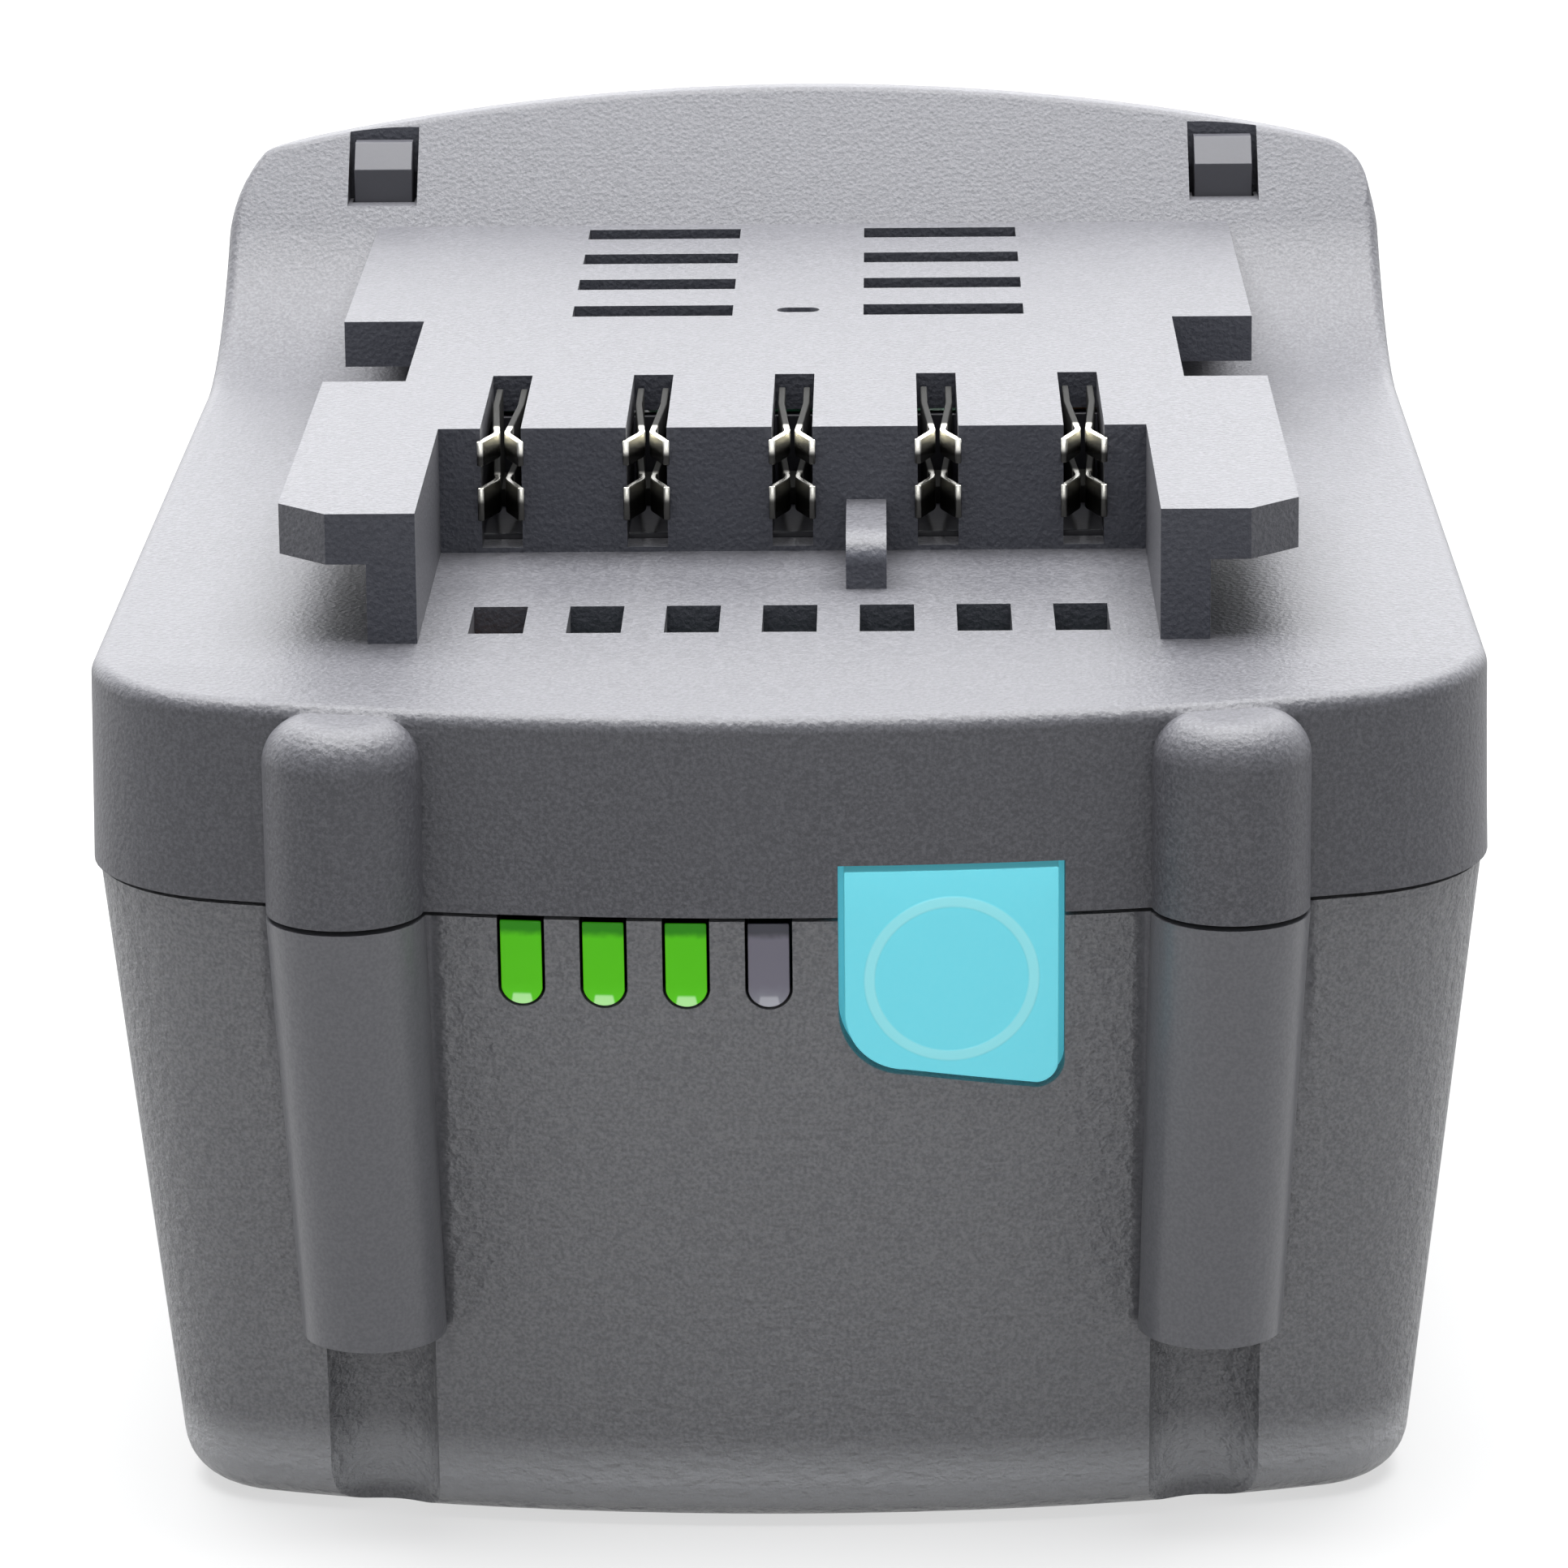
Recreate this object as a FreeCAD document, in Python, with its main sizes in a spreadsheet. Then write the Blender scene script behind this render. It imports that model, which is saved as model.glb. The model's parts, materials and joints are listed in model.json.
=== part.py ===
import FreeCAD, Part
import math
import os

import Sketcher

# Power tool battery pack: a slide-on pack of ten round cells.
# X runs to the right, Y from the display end to the raised rear end, Z up.
# The origin is the middle of the pack's underside, and lengths are in millimetres.

os.makedirs("parts", exist_ok=True)
doc = FreeCAD.newDocument("battery_pack")
sheet = doc.addObject("Spreadsheet::Sheet", "Sizes")

# Driving dimensions
SIZES = {
    # Outline of the case
    "pack_length": 116.0,
    "pack_width": 78.4,
    "pack_height": 64.0,
    "seam_level": 36.8,
    "flange_level": 48.5,
    "deck_rise": 7.5,
    "column_stand": 2.1,
    "front_radius": 115.0,
    "front_corner": 10.5,
    "rear_radius": 200.0,
    "rear_corner": 8.0,
    "lower_draft": 6.2,
    "upper_draft": 1.0,
    "bottom_round": 3.0,
    "edge_round": 0.9,
    # Walls and the joint between the two shells
    "lower_wall": 2.0,
    "upper_wall": 2.2,
    "floor_thick": 2.2,
    "seam_gap": 0.3,
    "seam_step": 0.35,
    "lip_height": 1.6,
    "lip_thick": 0.9,
    "lip_clearance": 0.1,
    # Raised rear end
    "sweep_radius": 26.0,
    "sweep_angle": 45.0,
    "crest_width": 2.4,
    "crown_radius": 195.0,
    "crown_corner": 4.0,
    "crease_setback": 11.4,
    "deck_overlap": 8.0,
    "front_fall": 0.45,
    # Rails that the tool slides on
    "neck_width": 47.3,
    "rail_width": 57.4,
    "rail_thick": 2.9,
    "rail_chamfer": 2.8,
    "arm_inner": 41.7,
    "arm_front": 39.95,
    "block_front": 17.65,
    "wing_end": 3.85,
    "rear_rail_start": 14.55,
    # Screw columns and channels
    "column_spacing": 48.4,
    "column_radius": 4.35,
    "column_lean": 2.2,
    "column_dome": 2.4,
    "column_foot": 12.0,
    "column_taper": 0.35,
    "channel_spacing": 46.6,
    "channel_radius": 3.3,
    "channel_offset": 0.8,
    "channel_backing": 1.2,
    "screw_hole": 1.7,
    "pilot_hole": 1.45,
    "head_radius": 2.7,
    "head_height": 2.2,
    "head_gap": 0.25,
    "seat_rise": 8.0,
    "seat_wall": 1.3,
    "boss_wall": 1.7,
    "boss_rise": 8.0,
    "boss_cap": 1.2,
    "screw_end_gap": 0.4,
    "screw_point": 1.0,
    "socket_radius": 1.2,
    "socket_depth": 1.4,
    "head_bevel": 0.6,
    "rear_column_lean": 0.3,
    "column_drop": 0.7,
    # Keying rib, contact slots, vents and louvres
    "key_across": 4.35,
    "key_width": 2.35,
    "key_length": 9.8,
    "key_rise": 4.4,
    "key_round": 2.4,
    "contact_pitch": 8.59,
    "slot_width": 2.4,
    "slot_length": 15.2,
    "slot_sill": 0.3,
    "vent_pitch": 5.53,
    "vent_width": 3.1,
    "vent_front": 37.65,
    "vent_back": 31.25,
    "louvre_inner": 4.16,
    "louvre_outer": 14.32,
    "louvre_start": 15.75,
    "louvre_pitch": 8.77,
    "louvre_width": 3.4,
    "dimple_along": 17.5,
    "dimple_width": 2.7,
    "dimple_length": 1.5,
    "dimple_depth": 0.8,
    "dimple_corner": 0.7,
    # Charge button, level windows and the small board behind them
    "button_left": 3.1,
    "button_right": 14.8,
    "button_top": 39.5,
    "button_low": 26.9,
    "button_slope": 1.0,
    "button_large_corner": 3.3,
    "button_small_corner": 1.2,
    "button_gap": 0.35,
    "button_rim": 0.9,
    "button_travel": 0.5,
    "button_back": 50.6,
    "window_first": 14.6,
    "window_pitch": 4.52,
    "window_width": 2.3,
    "window_low": 31.4,
    "window_gap": 0.15,
    "window_collar": 0.45,
    "small_board_back": 47.2,
    "small_board_low": 26.0,
    "small_board_high": 40.5,
    "small_board_half": 17.5,
    "guide_grip": 1.2,
    "guide_wall": 1.4,
    "guide_rise": 8.0,
    "board_thick": 1.2,
    "lamp_thick": 0.8,
    "lamp_width": 1.6,
    "lamp_height": 2.0,
    "lamp_rise": 2.2,
    "ribbon_thick": 0.3,
    "ribbon_width": 8.0,
    "ribbon_drop": 3.5,
    "ribbon_lift": 0.4,
    "switch_thick": 1.5,
    "switch_size": 4.5,
    "switch_corner": 0.5,
    "plunger_radius": 1.1,
    "running_gap": 0.05,
    "fit_gap": 0.1,
    # Cells, frames and link plates
    "cell_radius": 9.15,
    "cell_length": 65.0,
    "cell_pitch": 18.7,
    "layer_pitch": 18.9,
    "cell_shift": 2.2,
    "can_bevel": 0.6,
    "groove_from_end": 3.4,
    "cap_radius": 4.2,
    "cap_slope": 0.4,
    "cap_rise": 0.5,
    "frame_depth": 10.0,
    "frame_wall": 0.3,
    "pad_thick": 0.4,
    "post_rise": 1.8,
    "post_across": 27.5,
    "post_radius": 2.5,
    "post_pilot": 1.0,
    "pilot_depth": 6.0,
    "pad_inset": 1.0,
    "plate_thick": 0.25,
    "plate_reach": 5.0,
    "plate_side": 5.5,
    "plate_corner": 1.5,
    "tab_width": 3.0,
    "slit_width": 0.8,
    "slit_length": 5.0,
    "sheet_thick": 0.25,
    "sheet_reach": 6.0,
    "sheet_side": 6.5,
    "sheet_low": 2.4,
    "sheet_corner": 2.0,
    "rib_width": 1.6,
    "rib_inset": 3.0,
    "rib_pitch": 22.44,
    "rib_drop": 3.0,
    "bead_radius": 1.2,
    "lead_radius": 0.35,
    # Main board and contacts
    "main_board_thick": 1.6,
    "main_board_front": 42.0,
    "main_board_rear": 46.0,
    "board_corner": 2.0,
    "board_screw_head": 2.2,
    "board_screw_rise": 1.3,
    "board_socket": 1.0,
    "strap_thick": 0.4,
    "strap_width": 4.0,
    "strap_inner": 16.0,
    "capacitor_radius": 2.5,
    "capacitor_height": 5.5,
    "holder_front": 15.2,
    "holder_rear": 1.5,
    "holder_half": 20.6,
    "holder_gap": 0.3,
    "holder_slot": 2.5,
    "holder_floor": 0.6,
    "leaf_thick": 0.4,
    "leaf_gap": 0.55,
    "leaf_pinch": 0.12,
    "leaf_flare": 1.0,
    "leaf_root": 3.5,
    "leaf_bend": 8.0,
    "leaf_nip": 15.8,
    "leaf_tip": 18.5,
    "nip_length": 1.2,
    "nip_radius": 2.6,
    "nip_ease": 0.03,
    "nip_spread": 0.12,
    "finger_drop": 0.6,
    "split_low": 4.1,
    "split_width": 1.3,
    "fork_foot": 1.5,
    "fork_base": 1.1,
    "tail_half": 0.4,
    "tail_front": 7.0,
    "tail_rear": 5.0,
    # Release latch at the raised end
    "recess_half": 15.0,
    "recess_low": 43.6,
    "recess_high": 60.0,
    "recess_floor": 55.8,
    "recess_backing": 2.0,
    "recess_corner": 2.5,
    "pad_gap": 0.3,
    "pad_rise": 1.3,
    "grip_first": 1.9,
    "grip_pitch": 2.4,
    "grip_width": 1.0,
    "grip_inset": 3.0,
    "grip_rise": 0.35,
    "latch_travel": 4.0,
    "bar_front": 50.0,
    "bar_rear": 52.8,
    "bar_low": 50.5,
    "bar_high": 54.5,
    "bar_half": 30.5,
    "lug_width": 3.9,
    "lug_gap": 0.15,
    "lug_margin": 0.4,
    "lug_sill": 1.2,
    "catch_drop": 3.0,
    "catch_bevel": 1.6,
    "stem_across": 9.0,
    "stem_width": 1.8,
    "spring_across": 12.5,
    "spring_coil": 1.5,
    "spring_wire": 0.2,
    "peg_radius": 1.0,
    "peg_reach": 1.0,
    "ledge_half": 2.2,
    "ledge_low": 43.0,
    "ledge_high": 44.2,
}
for row, (name, number) in enumerate(SIZES.items(), start=1):
    sheet.set("A%d" % row, name)
    sheet.set("B%d" % row, str(number))
    sheet.setAlias("B%d" % row, name)
doc.recompute()


class Size:
    """A length known both as a number and as the sheet expression that gives it."""

    def __init__(self, number, text):
        self.number = float(number)
        self.text = text

    def __add__(self, other):
        other = size(other)
        return Size(self.number + other.number, "(%s + %s)" % (self.text, other.text))

    def __sub__(self, other):
        other = size(other)
        return Size(self.number - other.number, "(%s - %s)" % (self.text, other.text))

    def __mul__(self, other):
        other = size(other)
        return Size(self.number * other.number, "%s * %s" % (self.text, other.text))

    def __truediv__(self, other):
        other = size(other)
        return Size(self.number / other.number, "%s / %s" % (self.text, other.text))

    def __neg__(self):
        return Size(-self.number, "(0 - %s)" % self.text)

    def __radd__(self, other):
        return size(other) + self

    def __rsub__(self, other):
        return size(other) - self

    def __rmul__(self, other):
        return size(other) * self


def size(value):
    """A sheet cell by its name, a plain number, or a Size as it is."""
    if isinstance(value, Size):
        return value
    if isinstance(value, str):
        return Size(float(sheet.get(value)), "Sizes." + value)
    return Size(value, "(%r)" % float(value))


def root(value):
    return Size(math.sqrt(value.number), "sqrt(%s)" % value.text)


def sine(angle):
    return Size(math.sin(math.radians(angle.number)), "sin(%s)" % angle.text)


def cosine(angle):
    return Size(math.cos(math.radians(angle.number)), "cos(%s)" % angle.text)


def tangent(angle):
    return Size(math.tan(math.radians(angle.number)), "tan(%s)" % angle.text)


def bind(thing, field, value):
    """Sets a property to a size and ties it to the sheet."""
    value = size(value)
    owner, _, last = field.rpartition(".")
    if not owner:
        setattr(thing, field, value.number)
    thing.setExpression(field, value.text)


def arc_between(start, end, radius):
    """A counter-clockwise arc from start to end, or from end to start if the radius is negative."""
    if radius < 0:
        start, end, radius = end, start, -radius
    half = (end - start) / 2
    left = FreeCAD.Vector(-half.y, half.x, 0).normalize()
    centre = start + half + left * math.sqrt(max(radius * radius - half.Length**2, 0))
    ring = Part.Circle(centre, FreeCAD.Vector(0, 0, 1), radius)
    turns = [math.atan2(p.y - centre.y, p.x - centre.x) for p in (start, end)]
    if turns[1] < turns[0]:
        turns[1] += 2 * math.pi
    return Part.ArcOfCircle(ring, turns[0], turns[1])


def sketch(body, plane, name, loops, level=0):
    """A closed outline on one of the body's own planes.

    A loop is a list of corners (x, y) or (x, y, radius), where the radius bends the side that
    starts at that corner. A circle is the tuple ("circle", x, y, radius).
    """
    drawn = body.newObject("Sketcher::SketchObject", name)
    origin = [plane_of for plane_of in body.Origin.OriginFeatures if plane_of.Role == plane + "_Plane"]
    drawn.AttachmentSupport = [(origin[0], "")]
    drawn.MapMode = "FlatFace"
    level = -size(level) if plane == "XZ" else size(level)
    drawn.AttachmentOffset = FreeCAD.Placement(FreeCAD.Vector(0, 0, level.number), FreeCAD.Rotation())
    drawn.setExpression("AttachmentOffset.Base.z", level.text)
    limits = []
    for loop in loops:
        first = drawn.GeometryCount
        if loop[0] == "circle":
            across, up, radius = (size(value) for value in loop[1:])
            centre = FreeCAD.Vector(across.number, up.number, 0)
            ring = Part.Circle(centre, FreeCAD.Vector(0, 0, 1), radius.number)
            drawn.addGeometry(ring, False)
            limits += [("DistanceX", (-1, 1, first, 3), across), ("DistanceY", (-1, 1, first, 3), up)]
            limits += [("Radius", (first,), radius)]
            continue
        corners = [FreeCAD.Vector(size(c[0]).number, size(c[1]).number, 0) for c in loop]
        count = len(loop)
        for i, corner in enumerate(loop):
            start, end = corners[i], corners[(i + 1) % count]
            if len(corner) == 3:
                radius = size(corner[2])
                drawn.addGeometry(arc_between(start, end, radius.number), False)
            else:
                drawn.addGeometry(Part.LineSegment(start, end), False)
        clockwise = [len(corner) == 3 and size(corner[2]).number < 0 for corner in loop]
        ends = [(2, 1) if turned else (1, 2) for turned in clockwise]
        for i, corner in enumerate(loop):
            after = (i + 1) % count
            drawn.addConstraint(
                Sketcher.Constraint("Coincident", first + i, ends[i][1], first + after, ends[after][0])
            )
            limits += [("DistanceX", (-1, 1, first + i, ends[i][0]), size(corner[0]))]
            limits += [("DistanceY", (-1, 1, first + i, ends[i][0]), size(corner[1]))]
            if len(corner) == 3:
                radius = size(corner[2])
                bend = -radius if radius.number < 0 else radius
                limits += [("Radius", (first + i,), bend)]
    for kind, where, value in limits:
        index = drawn.addConstraint(Sketcher.Constraint(kind, *where, value.number))
        drawn.setExpression("Constraints[%d]" % index, value.text)
    return drawn


def swept(body, kind, plane, name, loops, start, end, taper=None):
    """A pad or pocket between two levels of the axis that the plane faces."""
    start, end = size(start), size(end)
    drawn = sketch(body, plane, name + "_sketch", loops, start)
    feature = body.newObject("PartDesign::" + kind, name)
    feature.Profile = drawn
    towards_plus = end.number > start.number
    bind(feature, "Length", end - start if towards_plus else start - end)
    along_normal = towards_plus if plane != "XZ" else not towards_plus
    feature.Reversed = along_normal if kind == "Pocket" else not along_normal
    if taper is not None:
        bind(feature, "TaperAngle", taper)
    feature.Refine = kind == "Pad"
    drawn.Visibility = False
    return feature


def pad(body, plane, name, loops, start, end, taper=None):
    return swept(body, "Pad", plane, name, loops, start, end, taper)


def cut(body, plane, name, loops, start, end, taper=None):
    return swept(body, "Pocket", plane, name, loops, start, end, taper)


def turned(body, kind, name, half_section, across, along):
    """A revolution or groove about an upright axis, from a half section (distance out, level)."""
    drawn = sketch(body, "XZ", name + "_sketch", [half_section], along)
    drawn.AttachmentOffset.Base.x = size(across).number
    drawn.setExpression("AttachmentOffset.Base.x", size(across).text)
    feature = body.newObject("PartDesign::" + kind, name)
    feature.Profile = drawn
    feature.ReferenceAxis = (drawn, ["V_Axis"])
    feature.Angle = 360
    drawn.Visibility = False
    return feature


def rectangle(left, front, right, back):
    return [(left, front), (right, front), (right, back), (left, back)]


def rounded(left, front, right, back, radius):
    """A rectangle with round corners, drawn counter-clockwise."""
    left, front, right, back, radius = (size(v) for v in (left, front, right, back, radius))
    return [
        (left + radius, front),
        (right - radius, front, radius),
        (right, front + radius),
        (right, back - radius, radius),
        (right - radius, back),
        (left + radius, back, radius),
        (left, back - radius),
        (left, front + radius, radius),
    ]


def new_body(name):
    body = doc.addObject("PartDesign::Body", name)
    body.Label = name
    return body


SHARP_ANGLE = math.radians(4)


def is_sharp(shape, edge):
    """True where the two faces that share the edge meet at an angle."""
    faces = shape.ancestorsOfType(edge, Part.Face)
    if len(faces) != 2:
        return False
    middle = edge.valueAt((edge.FirstParameter + edge.LastParameter) / 2)
    normals = [face.normalAt(*face.Surface.parameter(middle)) for face in faces]
    return normals[0].getAngle(normals[1]) > SHARP_ANGLE


def finish_edges(body, kind, name, amount, wanted):
    """Rounds or bevels the edges of the body's last feature that pass the test."""
    doc.recompute()
    base = body.Tip
    names = []
    for i, edge in enumerate(base.Shape.Edges):
        if wanted(edge) and is_sharp(base.Shape, edge):
            names.append("Edge%d" % (i + 1))
    feature = body.newObject("PartDesign::" + kind, name)
    feature.Base = (base, names)
    bind(feature, "Radius" if kind == "Fillet" else "Size", amount)
    doc.recompute()
    return feature


half_length = size("pack_length") / 2
half_width = size("pack_width") / 2
top = size("pack_height")
seam = size("seam_level")
flange = size("flange_level")
deck = flange + "deck_rise"
front_wall = -(half_length - "column_stand")
rear_wall = half_length
# PAST is how far a cut runs on beyond what it trims, LAP how far joined shapes overlap.
PAST, LAP, NEAR = 2, 0.5, 0.01


def plan_outline(inset):
    """The case seen from above: bowed ends, straight sides and round corners."""
    inset = size(inset)
    side = half_width - inset
    loop = []
    for sign, end, bow, corner in (
        (-1, front_wall, size("front_radius"), size("front_corner")),
        (1, rear_wall, size("rear_radius"), size("rear_corner")),
    ):
        bow_centre = end - bow * sign
        across = half_width - corner
        along = root((bow - corner) * (bow - corner) - across * across)
        corner_centre = bow_centre + along * sign
        share = (bow - inset) / (bow - corner)
        touch_across = across * share
        touch_along = bow_centre + (corner_centre - bow_centre) * share
        small = corner - inset
        large = bow - inset
        if sign < 0:
            loop += [(-side, corner_centre, small)]
            loop += [(-touch_across, touch_along, large)]
            loop += [(touch_across, touch_along, small)]
            loop += [(side, corner_centre)]
        else:
            loop += [(side, corner_centre, small)]
            loop += [(touch_across, touch_along, large)]
            loop += [(-touch_across, touch_along, small)]
            loop += [(-side, corner_centre)]
    return loop


def wall_setback(across, bow="front_radius"):
    """How far the bowed end falls back at a distance from the middle."""
    across, bow = size(across), size(bow)
    return bow - root(bow * bow - across * across)


# Upper shell
def upper_form(body, inset, start):
    """The drafted block under the flange, with the swept rear end and the crowned top."""
    inset = size(inset)
    beyond = half_length + PAST
    side_beyond = half_width + PAST
    above = top + PAST
    pad(body, "XY", body.Label + "_block", [plan_outline(inset)], start, above, -size("upper_draft"))
    angle = size("sweep_angle")
    radius = size("sweep_radius")
    crest = rear_wall - (top - seam) * tangent(size("upper_draft")) - "crest_width"
    bend_level = flange + radius * (1 - cosine(angle))
    sweep_start = crest - (top - bend_level) / tangent(angle) - radius * sine(angle)
    wide = radius + inset
    bend_along = sweep_start + wide * sine(angle)
    bend_up = flange + radius - wide * cosine(angle)
    crease = front_wall + "crease_setback"
    profile = [
        (-beyond, flange - inset - (beyond + crease) * size("front_fall") / "crease_setback"),
        (crease, flange - inset),
        (sweep_start, flange - inset, wide),
        (bend_along, bend_up),
        (bend_along + (above + PAST - bend_up) / tangent(angle), above + PAST),
        (-beyond, above + PAST),
    ]
    cut(body, "YZ", body.Label + "_sweep", [profile], -side_beyond, side_beyond)
    crown = size("crown_radius")
    corner = size("crown_corner")
    side = half_width - (deck - seam) * tangent(size("upper_draft"))
    crown_centre = top - crown
    corner_across = side - corner
    corner_up = crown_centre + root((crown - corner) * (crown - corner) - corner_across * corner_across)
    share = (crown - inset) / (crown - corner)
    touch_across = corner_across * share
    touch_up = crown_centre + (corner_up - crown_centre) * share
    outline = [
        (-side_beyond, corner_up),
        (-(side - inset), corner_up, -(corner - inset)),
        (-touch_across, touch_up, -(crown - inset)),
        (touch_across, touch_up, -(corner - inset)),
        (side - inset, corner_up),
        (side_beyond, corner_up),
        (side_beyond, above + PAST),
        (-side_beyond, above + PAST),
    ]
    return cut(body, "XZ", body.Label + "_crown", [outline], -beyond, beyond)


def circle(across, along, radius):
    return ("circle", across, along, radius)


def leaning_cone(body, kind, name, foot, head, foot_radius, head_radius, overshoot=0):
    """A cone about the line from foot to head, both (across, along, level)."""
    foot, head = [size(v) for v in foot], [size(v) for v in head]
    run = [far - near for far, near in zip(head, foot)]
    tilt = root(run[0] * run[0] + run[1] * run[1])
    height = root(tilt * tilt + run[2] * run[2])
    share = size(overshoot) / height
    grown = (head_radius - foot_radius) * share
    start = [near - along * share for near, along in zip(foot, run)]
    feature = body.newObject("PartDesign::" + kind, name)
    plane = [part for part in body.Origin.OriginFeatures if part.Role == "XY_Plane"]
    feature.AttachmentSupport = [(plane[0], "")]
    feature.MapMode = "FlatFace"
    axis = FreeCAD.Vector(-run[1].number, run[0].number, 0)
    angle = math.degrees(math.atan2(tilt.number, run[2].number))
    base = FreeCAD.Vector(*[value.number for value in start])
    feature.AttachmentOffset = FreeCAD.Placement(base, FreeCAD.Rotation(axis, angle))
    for letter, value in zip("xyz", start):
        feature.setExpression("AttachmentOffset.Base." + letter, value.text)
    feature.setExpression("AttachmentOffset.Rotation.Axis.x", (-run[1] / tilt).text)
    feature.setExpression("AttachmentOffset.Rotation.Axis.y", (run[0] / tilt).text)
    feature.setExpression("AttachmentOffset.Rotation.Angle", "atan(%s)" % (tilt / run[2]).text)
    bind(feature, "Height", height + overshoot + overshoot)
    if "Cone" in kind:
        bind(feature, "Radius1", foot_radius - grown)
        bind(feature, "Radius2", head_radius + grown)
    else:
        bind(feature, "Radius", foot_radius)
    return feature


column_across = size("column_spacing") / 2
column_along = half_length - "column_radius"
channel_across = size("channel_spacing") / 2
foot_level = size("column_foot")
seat_level = foot_level + "seat_rise"
screw_radius = size("screw_hole")
boss_radius = screw_radius + "boss_wall"
SIDES = (("left", -1), ("right", 1))
ENDS = (("front", -1), ("rear", 1))


def outer_wall(end, level):
    """Where the lower shell's outer face lies at the channels, at one end and level."""
    if end < 0:
        crown_face = -front_wall
        setback = wall_setback(channel_across, "front_radius")
    else:
        crown_face = rear_wall
        setback = wall_setback(channel_across, "rear_radius")
    lean = (seam - level) * tangent(size("lower_draft"))
    return crown_face - "seam_step" - lean - setback


def screw_along(end):
    """The screw stands where the channel's axis meets the column's foot."""
    return (outer_wall(end, foot_level) + "channel_offset") * end


upper_start = seam + size("seam_gap") / 2
lower_end = seam - size("seam_gap") / 2

pocket_radius = size("cell_radius") + "fit_gap"
frame_bottom = size("floor_thick") + "pad_thick"
low_layer = frame_bottom + "frame_wall" + pocket_radius
high_layer = low_layer + "layer_pitch"
frame_top = high_layer + pocket_radius + "frame_wall"
board_low = frame_top + "post_rise"
board_high = board_low + "main_board_thick"
cell_rows = [size("cell_shift") + size("cell_pitch") * (row - 2) for row in range(5)]
frame_front = cell_rows[0] - pocket_radius - "frame_wall"
frame_rear = cell_rows[4] + pocket_radius + "frame_wall"
frame_half = size("cell_length") / 2
post_rows = [size("cell_shift") + size("cell_pitch") * turn for turn in (-1.5, 1.5)]
window_middles = [size("window_pitch") * i - "window_first" for i in range(4)]
small_board_face = -size("small_board_back") - "board_thick"
guide_half = size("small_board_half")
guide_rear = size("guide_grip") - "small_board_back"
guide_top = size("small_board_low") + "guide_rise"
backing_face = size("recess_floor") - "recess_backing"
bar_middle = (size("bar_front") + "bar_rear") / 2


def button_outline(grow):
    """The button seen from the front: square above, one large and one small corner below."""
    grow = size(grow)
    left, right, high = size("button_left"), size("button_right"), size("button_top")
    low, slope = size("button_low"), size("button_slope")
    large, small = size("button_large_corner"), size("button_small_corner")
    return [
        (left - grow, low + slope + large),
        (left + large, low + slope - grow),
        (right - small, low - grow),
        (right + grow, low + small),
        (right + grow, high + grow),
        (left - grow, high + grow),
    ]


# An arc across a corner needs a radius a little over half its chord.
ARC_EASE = 1.02


def button_loop(grow):
    """The button's outline with its two lower corners drawn as arcs."""
    points = button_outline(grow)
    large = (size("button_large_corner") + grow) * ARC_EASE
    small = (size("button_small_corner") + grow) * ARC_EASE
    points[0] += (large,)
    points[2] += (small,)
    return points


def window_outline(middle, grow, high):
    """A level window: straight sides and a round lower end."""
    half_window = size("window_width") / 2
    foot_of_window = size("window_low") + half_window
    reach = half_window + grow
    return [
        (middle - reach, high),
        (middle - reach, foot_of_window, reach * ARC_EASE),
        (middle + reach, foot_of_window),
        (middle + reach, high),
    ]


def facing_cut(body, name, upper_inset, lower_inset):
    """Trims a piece to the case's bowed front: upright above the seam, leaning below it."""
    centre = front_wall + "front_radius"
    upper_radius = size("front_radius") - upper_inset
    lower_radius = size("front_radius") - lower_inset
    lean = seam * tangent(size("lower_draft"))
    beyond = size("front_radius") + "pack_length"
    half_section = [
        (lower_radius - lean, 0),
        (beyond, 0),
        (beyond, deck),
        (upper_radius, deck),
        (upper_radius, seam + NEAR),
        (lower_radius, seam),
    ]
    return turned(body, "Groove", name, half_section, 0, centre)


def guide_grooves():
    """The two upright grooves that hold the small board's edges."""
    grooves = []
    gap = size("fit_gap")
    for name, sign in SIDES:
        inner, outer = (guide_half - "guide_grip" - gap) * sign, (guide_half + gap) * sign
        grooves.append(rectangle(inner, small_board_face - gap, outer, gap - "small_board_back"))
    return grooves


upper_shell = new_body("upper_shell")
upper_form(upper_shell, 0, upper_start)


def upper_rim(edge):
    """The long edge round the flange, up the sweep and along the crest."""
    points = [edge.valueAt(edge.FirstParameter), edge.valueAt(edge.LastParameter)]
    return min(p.z for p in points) > (flange - "front_fall" - LAP).number


finish_edges(upper_shell, "Fillet", "rim_round", "edge_round", upper_rim)

# The raised deck, open at the front between two arms, and the rails along its sides.
neck = size("neck_width") / 2
arm = size("arm_inner") / 2
rail = size("rail_width") / 2
block_front = -size("block_front")
arm_front = -size("arm_front")
hump_inside = half_length - "deck_overlap"
deck_outline = [
    (-neck, arm_front),
    (-arm, arm_front),
    (-arm, block_front),
    (arm, block_front),
    (arm, arm_front),
    (neck, arm_front),
    (neck, hump_inside),
    (-neck, hump_inside),
]
pad(upper_shell, "XY", "neck", [deck_outline], flange - "edge_round", deck)
rails = []
for name, sign in SIDES:
    chamfer = size("rail_chamfer")
    wing = [
        (arm * sign, arm_front),
        ((rail - chamfer) * sign, arm_front),
        (rail * sign, arm_front + chamfer),
        (rail * sign, -size("wing_end")),
        (arm * sign, -size("wing_end")),
    ]
    rear = [
        (arm * sign, size("rear_rail_start")),
        (rail * sign, size("rear_rail_start")),
        (rail * sign, hump_inside),
        (arm * sign, hump_inside),
    ]
    rails += [wing, rear]
pad(upper_shell, "XY", "rails", rails, deck - "rail_thick", deck)
key_left = size("key_across") - size("key_width") / 2
key_front = block_front - "key_length"
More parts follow.
